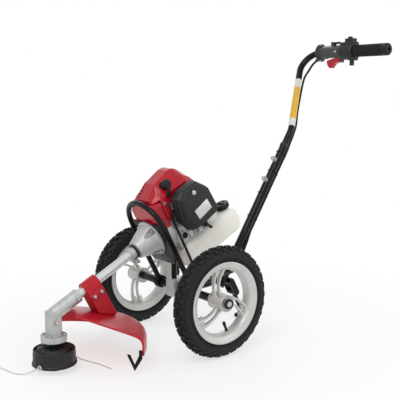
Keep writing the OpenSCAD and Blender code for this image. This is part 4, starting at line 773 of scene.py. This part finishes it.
# bolts: flange, bracket, stem and axle ends
bolts = dict(flangeR=47, flangeS=356.52, bracket=(23, 116, -22), bracketStep=24, stemUp=(376, 451),
             stemFront=20.7, saddleFront=12.2, axleEnd=234, capOut=236,
             saddle=[(0, -2), (8.6, -2), (8.6, 1.6), (5.6, 2.4), (5.6, 7), (7.4, 7.4), (7.4, 8.6), (0, 8.6)],
             cap=[(10.3, 0.2), (14.6, 0.2), (14.6, 2), (13.4, 2.3), (12.9, 7), (12.2, 8), (10.9, 8),
                  (10.3, 7.4)])
ring = boltRing("flangeBolts", "m6flange", bolts["flangeR"])
boltParts = [moved(ring, toAxle @ shift((0, bolts["flangeS"], 0)) @ turned(90, "X"))]
for side, name in ((1, "bracketBolts"), (-1, "bracketNuts")):
    x, s, h = bolts["bracket"]
    pair = setOut(name, hexBolt(*boltSizes["m6"]), 2, "zinc", 0, (0, bolts["bracketStep"], 0))
    boltParts.append(moved(pair, toAxle @ shift((side * x, s, h)) @ turned(90 * side, "Y")))
saddle = spun("saddle", bolts["saddle"], 32)
for up in bolts["stemUp"]:
    boltParts.append(boltAt("m8", aimed(onStem(up, -bolts["stemFront"]), -stemBack)))
    boltParts.append(moved(saddle, aimed(onStem(up, -bolts["saddleFront"]), -stemBack)))
boltParts += [boltAt("m10", axleSide(side, bolts["axleEnd"])) for side in (-1, 1)]
piece("hexBolts", boltParts, "zinc", axleM, "frame", "hex_bolts", 30)
for side, word in ((1, "left"), (-1, "right")):
    cap = spun("hubCap", bolts["cap"], 40)
    piece(word + "AxleCap", [cap], "black", axleM @ axleSide(side, bolts["capOut"]))
print("frame and handle tube")

# drive line: gear case, tube, clutch housing
driveLine = dict(screwR=29.5, screwZ=95, plug=(18, 0, 132), neckScrew=(18.4, 74, 0),
                 pinchBolt=(12.2, 284, -27), padTop=[(0, 160), (13, 160), (13, 163.5), (0, 163.5)],
                 cover=[(9, 75.6), (24, 75.6), (25, 76.4), (25, 79.4), (9, 79.4)],
                 tube=[(11, 60), (13, 60), (13, 304.5), (11, 304.5)],
                 ring=[(17.1, 289.6), (20.4, 289.6), (21, 290.2), (21, 293.6), (20.4, 294.4), (17.1, 294.4)],
                 pinchBosses=[((0, 284, -19), (0, 0, -1), 15, 10), ((12, 284, -27), (-1, 0, 0), 13, 24)],
                 clampBolts=[(20, -17, 176), (20, 20, 140)])
pad = spun("topPad", driveLine["padTop"], 48)
skinned("gearCase", "gear_case", spindleM, "cast", voxel=0.9, smooth=7, extras=[pad], thin=0.6)
caseTrim = [boltRing("caseScrews", "m5case", driveLine["screwR"], driveLine["screwZ"]),
            boltAt("m6", shift(driveLine["plug"]) @ alongX), spun("bearingCover", driveLine["cover"], 64)]
piece("caseScrews", caseTrim, "zinc", spindleM, angle=30)
piece("neckScrew", [boltAt("m5", shift(driveLine["neckScrew"]) @ alongX)], "zinc", shaftM, angle=30)
piece("driveTube", [spun("driveTube", driveLine["tube"], 64)], "tube", shaftM @ alongS, "frame", "shaft_tube")
pinch = [tubeAt(*boss) for boss in driveLine["pinchBosses"]]
skinned("clutchHousing", "clutch_housing", shaftM, "cast", voxel=1.0, smooth=6, extras=pinch)
ring = spun("clutchRing", driveLine["ring"], 64)
piece("clutchRing", [ring], "rubber", shaftM @ alongS, "frame", "clutch_ring")
piece("pinchBolt", [boltAt("m5pinch", shift(driveLine["pinchBolt"]) @ alongX)], "zinc", shaftM, angle=30)
skinned("axleClamp", "axle_clamp", axleM, "cast", voxel=0.9, smooth=6, thin=0.6)
clampBolts = [boltAt("m6", shift(p) @ alongX) for p in driveLine["clampBolts"]]
piece("clampBolts", clampBolts, "zinc", axleM, angle=30)
print("drive line")

# guard: a pressed-out shell with a turned rim, its bracket and the line cutter
guard = dict(start=40, sweep=113, inner=64, innerZ=148.4, innerBead=5.4, endBead=5.6, beadDrop=1.4,
             top=[(64, 150), (90, 143.4), (120, 135.4), (150, 127.4), (180, 119.4), (205, 112.6),
                  (222, 107.6), (233, 103.6), (240, 99.2), (244.5, 93.4), (246.6, 86), (247, 78), (247, 56)],
             under=[(246.2, 54), (244.6, 54), (244, 56), (244, 78), (243.2, 85), (241, 90.6), (237, 95.6),
                    (231, 99.6), (220, 103.6), (203, 108.6), (178, 115.6), (148, 123.8), (118, 131.8),
                    (90, 139.6), (64, 146.6)],
             lugs=[((18, 104.5, -29), (26, 151.5, -15)), ((-26, 104.5, -29), (-18, 151.5, -15))])


def guardMesh():
    parts = [spun("guardShell", guard["top"] + guard["under"], 96, guard["sweep"], guard["start"])]
    # stiffening beads along both ends and round the inner edge
    for deg in (guard["start"], guard["start"] + guard["sweep"]):
        line = smoothPath([(*polar(r, deg), z - guard["beadDrop"]) for r, z in guard["top"]], 3)
        parts.append(swept("endBead", line, roundSection(guard["endBead"], 14)))
    turns = [guard["start"] + guard["sweep"] * k / 60 for k in range(61)]
    line = [(*polar(guard["inner"], a), guard["innerZ"]) for a in turns]
    parts.append(swept("innerBead", line, roundSection(guard["innerBead"], 14)))
    return parts


piece("guardShell", guardMesh(), "redSatin", spindleM, "frame", "guard_shell", 40)
lugs = [boxMesh(*lug) for lug in guard["lugs"]]
skinned("guardBracket", "guard_bracket", shaftM, "redSatin", voxel=1.1, smooth=8, extras=lugs)
blade = makeObject("lineCutter", cadCopy("line_cutter", spindleM), "coat")
changed(blade, "DECIMATE", decimate_type="DISSOLVE", angle_limit=math.radians(2))
rounded(blade, width=0.6, segments=2, angle=40)
settle(blade, spindleM, "frame", "coat", "line_cutter", 30)
print("guard")

# line head: an upright rim with a groove inside it, a raised middle, and a lower edge that tapers in
head = dict(ribs=12, ribR=55.6, ribFrom=28, ribTo=50, spokes=8, eyelet=(-22, 52, 22), nutZ=67.5,
            rib=[(-6.6, -0.6), (6.6, -0.6), (6.2, 0.9), (-6.2, 0.9)],
            spoke=[(16, 63), (46, 61.5), (44, 64.6), (18, 67)], spokeHalf=1.8,
            drum=[(0, 64), (37, 64), (42.5, 62.6), (45.6, 59), (46.6, 53), (47.5, 51.5), (50.5, 51.5),
                  (51.6, 52.5), (52.4, 57.4), (53.2, 58.4), (55.2, 58.4), (56, 57.4), (56, 25.5), (57.4, 23),
                  (60, 21.5), (60, 17.5), (58.6, 16.2), (47, 12.2), (46, 13), (53, 19), (53, 47.5),
                  (50, 48.4), (46, 48.6), (44.6, 50), (44.4, 58), (42, 60.8), (37, 61), (0, 61)],
            boss=[(5.1, 62), (19, 62), (19, 66), (17.5, 67.5), (13, 68), (13, 75), (12, 76), (5.1, 76)],
            eye=[(2.2, -3), (4.6, -3), (4.6, 1.5), (6.8, 2.2), (7.2, 3.4), (6.4, 4.6), (4, 5), (2.2, 3.8)])
ribs = ribRing("drumRib", head, "black")
spoke = prism("drumSpoke", head["spoke"], -head["spokeHalf"], head["spokeHalf"], "Y")
spokes = setOut("drumSpokes", spoke, head["spokes"], "black", 360 / head["spokes"])
drum = [spun("headDrum", head["drum"], 96), ribs, spun("drumBoss", head["boss"], 64), spokes]
piece("headDrum", drum, "black", spindleM, "head", "head_body", 36)
x, y, z = head["eyelet"]
eye = moved(spun("eyelet", head["eye"], 28), aimed((x, y, z), (x, y, 0)))
piece("lineEyelets", [eye, moved(eye, turned(180, "Z"))], "zinc", spindleM, "head", angle=40)
piece("headNut", [boltAt("headNut", shift((0, 0, head["nutZ"])))], "steel", spindleM, "head", angle=30)

# spool wound with two layers of line, then the bump knob under it
spool = dict(wrapR=1.45, step=3.0, low=22.6, high=55.4, layers=((37.6, 0), (40.2, 1.5)), profile=[
    (11.1, 18), (44, 18), (45.2, 18.8), (45.2, 20.2), (44, 21), (36, 21), (36, 57), (42.8, 57), (43.8, 57.8),
    (43.8, 59.2), (42.8, 60), (11.1, 60)])
knob = dict(ribs=24, ribR=24.7, ribFrom=3.4, ribTo=10, rib=[(-1.6, 0), (1.6, 0), (1.1, 1.4), (-1.1, 1.4)],
            profile=[(0, 0), (17, 0), (21.5, 1.0), (24.2, 3.2), (25, 6), (25, 10), (24, 11), (11, 11),
                     (11, 30), (0, 30)])
heights = [(r, spool["low"] + k * spool["step"] + lift) for r, lift in spool["layers"] for k in range(12)]
wraps = [spun("wrap", [(r + a, z + b) for a, b in roundSection(2 * spool["wrapR"], 8)], 48)
         for r, z in heights if z < spool["high"]]
piece("lineSpool", [spun("spool", spool["profile"], 72)], "grey", spindleM, "head", "head_spool", 36)
piece("woundLine", wraps, "nylon", spindleM, "head", angle=60)
ribs = ribRing("knobRib", knob, "black")
piece("bumpKnob", [spun("knobBody", knob["profile"], 72), ribs], "black", spindleM, "knob", "bump_knob", 36)
print("line head")

# engine: red cowl with cooling slots
# each row: along the shaft, lower edge, half width, side's top, shoulder (out, up), crown (out, up)
cowl = dict(wall=3, slots=8, slotStep=(0, 8.6, 4.1), rearSlots=4, rearStep=(0, 0, 9), rows=[
    (382, 106.5, 46, 108.6, 40, 112, 30, 116), (396, 106.5, 52, 109, 42, 117, 29, 124),
    (407.02, 106.5, 56, 110, 43, 121, 27, 131), (407.04, 36, 56, 110, 43, 121, 27, 131),
    (427, 36, 58, 111, 44, 126, 25, 143), (456, 36, 58, 112, 44, 129, 23, 148),
    (484, 36, 58, 112, 44, 131, 21, 154), (500.9, 36, 58, 111, 43, 131, 21, 152),
    (501.02, 60, 58, 111, 43, 131, 21, 152), (512, 60, 58, 107, 42, 127, 20, 145),
    (527, 60, 57, 97, 42, 112, 20, 125), (536, 60, 55, 92, 41, 103, 19, 111)],
    screws=[(58, 415, 92), (58, 492, 70), (-58, 415, 92), (-58, 492, 70)],
    slot=((-46, 388, 112), (-15, 392.2, 142)), rearSlot=((-34, 526, 66), (34, 542, 70)),
    windows=[((-60, 423.5, 30), (-44, 469.5, 84)), ((44, 423.5, 30), (60, 469.5, 84))],
    plugAt=(8, 446.52, 112), plugLean=62, bootHole=[(0, 30), (13.5, 30), (13.5, 110), (0, 110)])
plugAxis = shift(cowl["plugAt"]) @ turned(cowl["plugLean"], "Y")


def cowlLoft(name, inset):
    rows = []
    last = len(cowl["rows"]) - 1
    for k, (s, low, half, brow, shoulderX, shoulderH, crownX, crownH) in enumerate(cowl["rows"]):
        s += inset if k == 0 else -inset if k == last else 0
        side = [(half - inset, low - (4 if inset else 0)), (half - inset, brow - inset * 0.5),
                (shoulderX - inset * 0.8, shoulderH - inset * 0.9), (crownX, crownH - inset * 1.1)]
        rows.append([(x, s, h) for x, h in side] + [(-x, s, h) for x, h in reversed(side)])
    return stacked(name, rows)


body = makeObject("topCowl", cowlLoft("topCowl", 0), "redGloss")
slot = boxMesh(*cowl["slot"])
rearSlot = boxMesh(*cowl["rearSlot"])
cutters = [cowlLoft("hollow", cowl["wall"]),
           setOut("cowlSlots", slot, cowl["slots"], "redGloss", 0, cowl["slotStep"]),
           setOut("cowlRearSlots", rearSlot, cowl["rearSlots"], "redGloss", 0, cowl["rearStep"]),
           moved(spun("bootHole", cowl["bootHole"], 48), plugAxis)]
cutters += [boxMesh(*window) for window in cowl["windows"]]
carved(body, cutters)
moulded(body, voxel=1.2, smooth=4)
changed(body, "DECIMATE", ratio=0.5)
body.data.materials.clear()
settle(body, shaftM, "frame", "redGloss", "top_cowl", 30)
piece("cowlScrews", [boltAt("m4", aimed(p, (p[0], 0, 0))) for p in cowl["screws"]], "zinc", shaftM, angle=30)

# fan shroud, red above and cast below
shroud = dict(split=24, low=(-120, 350, -120), high=(120, 420, 140))
upper = skinned("fanShroud", "fan_shroud", shaftM, "redGloss", voxel=1.2, smooth=7, angle=40)
lower = makeObject("fanHousing", upper.data.copy(), "cast")
carved(upper, [moved(boxMesh(shroud["low"], shroud["high"][:2] + (shroud["split"],)), shaftM)])
carved(lower, [moved(boxMesh(shroud["low"][:2] + (shroud["split"],), shroud["high"]), shaftM)])
lower.data.materials.clear()
settle(lower, Matrix.Identity(4), "frame", "cast", angle=40)

# plug boot and its lead, which goes back in through the cowl's side
boot = dict(leadD=10.5, leadFrom=(0, 0, 55), profile=[
    (5.6, 30), (10.6, 30), (11.6, 31), (11.6, 38), (10.6, 39.4), (10.6, 42), (12.4, 43.4), (13.2, 48),
    (13.2, 57), (11.6, 62), (7, 64.6), (0, 65.4), (0, 46), (5.6, 45)],
    lead=[(0, 0, 0), (7, -3, 1), (10, -6, -10), (7, -10, -22), (0, -14, -32), (-11, -16, -38)])
tip = plugAxis @ Vector(boot["leadFrom"])
path = smoothPath([tip + Vector(p) for p in boot["lead"]], 8)
sizes = [1.35 - 0.35 * min(1, k / 14) for k in range(len(path))]
lead = swept("lead", path, roundSection(boot["leadD"], 18), Vector((0.1, 1, 0.1)), sizes)
sleeve = moved(spun("boot", boot["profile"], 40), plugAxis)
piece("plugBoot", [sleeve, lead], "rubber", shaftM, "frame", "plug_boot", 45)

# crankcase with its ribs, corner posts and bosses, carburettor, muffler, starter
crankcase = dict(ribs=(452, 470, 488), farRibs=(418, 436, 454, 472, 490), ribT=4, ribX=(44, 49.5),
                 ribH=(-56, 26), bosses=[(421, 14), (421, -52), (486, -50)], bossX=44, bossD=15, bossLong=8,
                 boltX=52, posts=[((40, 407, -62), (52, 416, 40)), ((40, 494, -62), (52, 500, 30)),
                                  ((-52, 494, -62), (-40, 500, 30))])
primer = dict(place=(0, 436.52, -34), pocket=[(0, 39.2), (9.5, 39.2), (9.5, 62), (0, 62)], bulb=[
    (0, 44.4), (8.2, 44.4), (8.9, 45.1), (8.9, 50.6), (8.4, 53.4), (6.6, 55.8), (3.6, 56.8), (0, 57)])
primerM = shift(primer["place"]) @ alongX
x0, x1 = crankcase["ribX"]
low, high = crankcase["ribH"]
extras = [boxMesh((x0, s, low), (x1, s + crankcase["ribT"], high)) for s in crankcase["ribs"]]
extras += [boxMesh((-x1, s, low), (-x0, s + crankcase["ribT"], high)) for s in crankcase["farRibs"]]
extras += [boxMesh(*post) for post in crankcase["posts"]]
extras += [tubeAt((crankcase["bossX"], s, h), xAxis, crankcase["bossD"], crankcase["bossLong"])
           for s, h in crankcase["bosses"]]
casting = skinned("crankcaseCasting", "crankcase", shaftM, "cast", voxel=1.1, smooth=5, extras=extras)
# room for the primer bulb's travel
carved(casting, [moved(spun("primerPocket", primer["pocket"], 48), shaftM @ primerM)])
caseBolts = [boltAt("m5", shift((crankcase["boltX"], s, h)) @ alongX) for s, h in crankcase["bosses"]]
piece("caseBolts", caseBolts, "zinc", shaftM, angle=30)
carburettor = dict(ports=[((56, 446.5, 80), (0, 0, 1), 20, 6), ((56, 431, 60), (0, -1, 0), 9, 4)])
ports = [tubeAt(*port) for port in carburettor["ports"]]
skinned("carburettorBody", "carburettor", shaftM, "cast", voxel=0.8, smooth=4, extras=ports)
muffler = dict(ribs=6, ribStep=(0, 0, 9), rib=((-100.4, 424, 40), (-96, 469, 43)))
ribs = setOut("mufflerRibs", boxMesh(*muffler["rib"]), muffler["ribs"], "heat", 0, muffler["ribStep"])
skinned("mufflerBox", "muffler", shaftM, "heat", voxel=1.0, smooth=5, extras=[ribs])
starter = dict(vanes=14, vane=((24, 545.2, -1.8), (46, 549, 1.8)), boss=((0, 545, 0), yAxis, 30, 4),
               boltR=49.5, boltS=546.6)
vane = moved(boxMesh(*starter["vane"]), turned(90, "X"))
vanes = setOut("starterVanes", vane, starter["vanes"], "black", 360 / starter["vanes"])
extras = [moved(vanes, alongS), tubeAt(*starter["boss"])]
skinned("starterCase", "starter_case", shaftM, "black", voxel=1.1, smooth=5, extras=extras)
ring = boltRing("starterBolts", "m5", starter["boltR"], starter["boltS"])
piece("starterBolts", [moved(ring, alongS)], "zinc", shaftM, angle=30)

# pull handle and the rope that pays out behind it
pull = dict(x=40, h=5, s=556.82, rope=4.2, ropeFrom=541, ropeLong=21, bar=38, barOut=15, barSize=(16, 13),
            stem=[(2.4, 0), (4.2, 0), (4.6, 0.8), (4.8, 7), (6.2, 12), (0, 14), (0, 6), (2.4, 5)])
pullStem = moved(spun("pullStem", pull["stem"], 28), shift((pull["x"], pull["s"], pull["h"])) @ alongS)
path = [(pull["x"], pull["s"] + pull["barOut"], pull["h"] + pull["bar"] * (k / 24 - 0.5)) for k in range(25)]
# round ends and a slight waist
sizes = [(0.45 + 0.55 * min(1, min(k, 24 - k) / 3) ** 0.5) * (0.92 + 0.08 * abs(k - 12) / 12)
         for k in range(25)]
pullBar = swept("pullBar", path, ovalSection(*pull["barSize"], sides=28, power=0.85), yAxis, sizes)
piece("pullHandle", [pullStem, pullBar], "black", shaftM, "starter_pull", "starter_handle", 45)
path = [(pull["x"], pull["ropeFrom"] + pull["ropeLong"] * k / 30, pull["h"]) for k in range(31)]
rope = makeObject("starterRope", swept("starterRope", path, roundSection(pull["rope"], 14)), "rubber")
rope.data.transform(shaftM)
shade(rope, 50)
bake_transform(rope)
print("engine")

# filter: cover with broad chamfers, back plate, screw and a plain plate; rings are (out, share of outline)
filterBox = dict(s=418.02, h=-16, wide=128, high=128, centre=(503, 42), screwAt=(111.5, 482.8, 92),
                 shares=[(0, .36), (.16, .03), (.36, 0), (.93, .06), (1, .16), (.95, .74), (.74, 1), (.26, 1),
                         (.08, .9)],
                 rings=[(109, 0.9), (80.3, 0.955), (80.3, 1.0), (86, 1.0), (86.4, 0.985), (97, 0.975),
                        (112, 0.82)],
                 screw=[(0, 0), (6.4, 0), (7, 0.8), (7, 3.6), (6, 4.8), (3, 5.2), (0, 5.2)])
plainPlate = dict(size=(54, 32, 0.9), at=(111.9, 467, 11.3), turn=8.8)
s0, h0 = filterBox["centre"]
outline = [(filterBox["s"] + a * filterBox["wide"] - s0, filterBox["h"] + b * filterBox["high"] - h0)
           for a, b in filterBox["shares"]]
rows = [[(x, s0 + s * share, h0 + h * share) for s, h in outline] for x, share in filterBox["rings"]]
cover = makeObject("filterCover", stacked("filterCover", rows), "black")
rounded(cover, width=1.6, segments=3, angle=20)
settle(cover, shaftM, "frame", "black", "filter_cover", 30)
skinned("filterCase", "filter_case", shaftM, "black", voxel=0.9, smooth=5, thin=0.4)
screw = spun("coverScrew", filterBox["screw"], 36)
piece("coverScrew", [moved(screw, shift(filterBox["screwAt"]) @ alongX)], "zinc", shaftM)
plate = makeObject("plainPlate", boxMesh((0, 0, 0), plainPlate["size"]), "plate")
rounded(plate, width=0.4, segments=2, angle=40)
facing = Matrix(((0, 0, 1), (1, 0, 0), (0, 1, 0))).to_4x4()  # local Z to +X, local Y up
settle(plate, shaftM @ shift(plainPlate["at"]) @ facing @ turned(plainPlate["turn"], "Z"), "frame", "plate")
skinned("chokeLever", "choke_lever", shaftM, "black", voxel=0.5, smooth=4, body="choke")
bulb = moved(spun("primerBulb", primer["bulb"], 48), primerM)
piece("primerBulb", [bulb], "rubber", shaftM, "primer", "primer_bulb", 45)

# fuel tank, blow moulded, with its seam, and the ribbed cap
tank = dict(s0=402.02, long=238, low=-138, high=78, half=58, corner=27, edge=20, seamFrom=432,
            seam=[(-0.8, -0.7), (0.8, -0.7), (0.8, 0.9), (-0.8, 0.9)], neckAt=(20, 614.02, -60),
            neck=[(14, -16), (16.4, -16), (16.4, 9), (14, 9)], notch=((-14, -409, 0), (14, 4, 868)))
tankCap = dict(at=(20, 614.02, -58), wing=((-12.5, -3.4, 14), (12.5, 3.4, 19)), ribs=26, ribR=20.3,
               ribFrom=2.2, ribTo=14, rib=[(-1.3, 0), (1.3, 0), (0.9, 1.7), (-0.9, 1.7)],
               profile=[(16.6, 0.4), (20, 0.4), (20.6, 1), (20.6, 14), (19.6, 15.4), (17.6, 16), (13, 16),
                        (12, 14.8), (0, 14.8), (0, 10.4), (16.6, 10.4)])


def roundRect(x, y, w, h, r):
    steps = 10  # in each corner
    out = []
    left, right, low, high = x + r, x + w - r, y + r, y + h - r
    for cx, cy, a0 in ((right, low, -90), (right, high, 0), (left, high, 90), (left, low, 180)):
        for k in range(steps + 1):
            c, s = polar(r, a0 + 90 * k / steps)
            out.append((cx + c, cy + s))
    return out


outline = roundRect(tank["s0"], tank["low"], tank["long"], tank["high"], tank["corner"])
can = makeObject("fuelTank", prism("fuelTank", outline, -tank["half"], tank["half"], "X"), "milk")
rounded(can, width=tank["edge"], segments=8, angle=50)
# notch round the engine post
carved(can, [moved(boxMesh(*tank["notch"]), toAxle.inverted())])
moulded(can, voxel=2.0, smooth=10)
neck = moved(spun("neck", tank["neck"], 48), shift(tank["neckAt"]))
can.data = joined("fuelTank", [can.data, neck])
settle(can, shaftM, "frame", "milk", "fuel_tank", 50)
path = [(0, s, h) for s, h in outline if s > tank["seamFrom"]]
piece("tankSeam", [swept("tankSeam", path, tank["seam"], xAxis)], "milk", shaftM, angle=50)
ribs = ribRing("capRib", tankCap, "black")
wing = makeObject("capWing", boxMesh(*tankCap["wing"]), "black")
rounded(wing, width=1.5, segments=3, angle=40)
capParts = [spun("capBody", tankCap["profile"], 72), ribs, wing.data]
bpy.data.objects.remove(wing)
piece("tankCap", capParts, "black", shaftM @ shift(tankCap["at"]), "cap", "tank_cap", 36)
print("filter and tank")

# handlebar fittings
casing = dict(screws=[(-36, -8.6, 26.5), (-36, -8.6, -26.5), (42, -22.2, 0), (42, 22.2, 0)],
              ribs=[((-34, -1.1, -22), (54, 1.1, 22.2)), ((-42, -8, 22), (-35, 8, 29)),
                    ((-42, -8, -30), (-35, 8, -22)), ((30, -22.4, -9), (55, 22.4, 9))],
              triggerSlot=((-11, -10, -40), (50, 10, -11.6)))
housing = dict(barrel=[(11.2, 55.8), (25, 55.8), (27.5, 60), (27.5, 104), (24, 110.5), (11.2, 110.5)],
               pads=[((96, -22, -30), (104, 22, -10)), ((60, -20, 10), (74, 20, 27))])
handGrip = dict(ribs=30, ribR=18.5, ribFrom=120, ribTo=224,
                rib=[(-1.1, 0), (1.1, 0), (0.8, 1.2), (-0.8, 1.2)],
                profile=[(11.2, 112), (19.6, 112), (20, 112.6), (20, 116.4), (18.7, 118), (18.7, 226),
                         (19.6, 228), (19.8, 238), (18.4, 242.4), (15.4, 244.6), (12, 245), (6, 245),
                         (6, 239), (11.2, 239)])
trigger = dict(half=8.6, paddle=[(46, -21), (46, -30), (41, -34), (26, -39), (13, -53), (7, -53), (-1, -47),
                                 (-6.5, -35), (-5.5, -27.4), (20, -21.4), (34, -19)])
stopRidges = dict(x=(84, 86.5, 89, 91.5), wide=1.2, half=5.2, low=46.6, high=48.2)
extras = [boxMesh(*rib) for rib in casing["ribs"]]
shell = skinned("throttleCasing", "throttle_casing", barM, "grey", voxel=0.8, smooth=6, extras=extras)
carved(shell, [moved(boxMesh(*casing["triggerSlot"]), barM)])
screws = [boltAt("m3", aimed(p, (0, math.copysign(1, p[1]), 0))) for p in casing["screws"]]
piece("casingScrews", screws, "zinc", barM, angle=30)
extras = [moved(spun("housingBarrel", housing["barrel"], 48), alongX)]
extras += [boxMesh(*pad) for pad in housing["pads"]]
skinned("switchHousing", "switch_housing", barM, "black", voxel=0.9, smooth=9, extras=extras)
gripParts = [spun("handGrip", handGrip["profile"], 72), ribRing("gripRib", handGrip, "rubber")]
piece("handGrip", gripParts, "rubber", barM @ alongX, "frame", "left_grip", 36)
paddle = prism("paddle", trigger["paddle"], -trigger["half"], trigger["half"], "Y")
skinned("throttleTrigger", "throttle_trigger", barM, "redGloss", voxel=0.6, smooth=3, extras=[paddle],
        thin=0.4, body="trigger")
skinned("lockLever", "lock_lever", barM, "black", voxel=0.5, smooth=4, thin=0.4, body="lock")
half, low, high = (stopRidges[key] for key in ("half", "low", "high"))
ridges = [boxMesh((x, -half, low), (x + stopRidges["wide"], half, high)) for x in stopRidges["x"]]
skinned("stopSwitch", "stop_switch", barM, "black", voxel=0.4, smooth=3, extras=ridges, body="stop")
print("handlebar fittings")

# floor that fades into a white surround, and soft studio light
studio = dict(half=40, shadowNear=0.35, shadowFar=1.1, shadow=0.36, ambient=0.55, aim=(0, 0, 0.4),
              lamps=[("keyLamp", (1.6, -2.2, 3.0), 46, 1.8), ("fillLamp", (2.6, 1.6, 1.8), 18, 1.6),
                     ("backLamp", (-2.2, 1.8, 2.4), 24, 1.6)])
corners = [(x * studio["half"], y * studio["half"], 0) for x, y in ((-1, -1), (1, -1), (1, 1), (-1, 1))]
floor = bpy.data.objects.new("floor", meshOf("floor", corners, [(0, 1, 2, 3)]))
scene.collection.objects.link(floor)
ground = bpy.data.materials.new("paleStudioFloor")
ground.use_nodes = True
tree = ground.node_tree
tree.nodes.clear()
seen = addNode(tree, "ShaderNodeLightPath").outputs
white = addNode(tree, "ShaderNodeEmission", {"Color": linear("#ffffff"), "Strength": 1.0})
matt = addNode(tree, "ShaderNodeBsdfDiffuse", {"Color": linear("#ffffff")})
place = addNode(tree, "ShaderNodeTexCoord")
reach = addNode(tree, "ShaderNodeVectorMath", {0: place.outputs["Object"]}, operation="LENGTH")
near = addNode(tree, "ShaderNodeMapRange", {
    "Value": reach.outputs["Value"], "From Min": studio["shadowNear"], "From Max": studio["shadowFar"],
    "To Min": studio["shadow"], "To Max": 0.0}, interpolation_type="SMOOTHSTEP")
clear = addNode(tree, "ShaderNodeMixShader", {0: near.outputs[0], 1: white.outputs[0], 2: matt.outputs[0]})
mirror = addNode(tree, "ShaderNodeMath", {
    0: seen["Is Glossy Ray"], 1: seen["Is Transmission Ray"]}, operation="MAXIMUM")
mixed = addNode(tree, "ShaderNodeMixShader", {0: mirror.outputs[0], 1: clear.outputs[0], 2: white.outputs[0]})
addNode(tree, "ShaderNodeOutputMaterial", {"Surface": mixed.outputs[0]})
floor.data.materials.append(ground)

world = bpy.data.worlds.new("studio")
scene.world = world
world.use_nodes = True
tree = world.node_tree
tree.nodes.clear()
seen = addNode(tree, "ShaderNodeLightPath").outputs
either = addNode(tree, "ShaderNodeMath", {
    0: seen["Is Camera Ray"], 1: seen["Is Glossy Ray"]}, operation="MAXIMUM")
either = addNode(tree, "ShaderNodeMath", {
    0: either.outputs[0], 1: seen["Is Transmission Ray"]}, operation="MAXIMUM")
soft = addNode(tree, "ShaderNodeBackground", {"Color": linear("#ffffff"), "Strength": studio["ambient"]})
bright = addNode(tree, "ShaderNodeBackground", {"Color": linear("#ffffff"), "Strength": 1.0})
mixed = addNode(tree, "ShaderNodeMixShader", {0: either.outputs[0], 1: soft.outputs[0], 2: bright.outputs[0]})
addNode(tree, "ShaderNodeOutputWorld", {"Surface": mixed.outputs[0]})

for name, place, power, wide in studio["lamps"]:
    lamp = bpy.data.objects.new(name, bpy.data.lights.new(name, "AREA"))
    lamp.data.energy = power
    lamp.data.size = wide
    lamp.location = place
    lamp.rotation_euler = (Vector(studio["aim"]) - Vector(place)).to_track_quat("-Z", "Y").to_euler()
    scene.collection.objects.link(lamp)
print("studio")
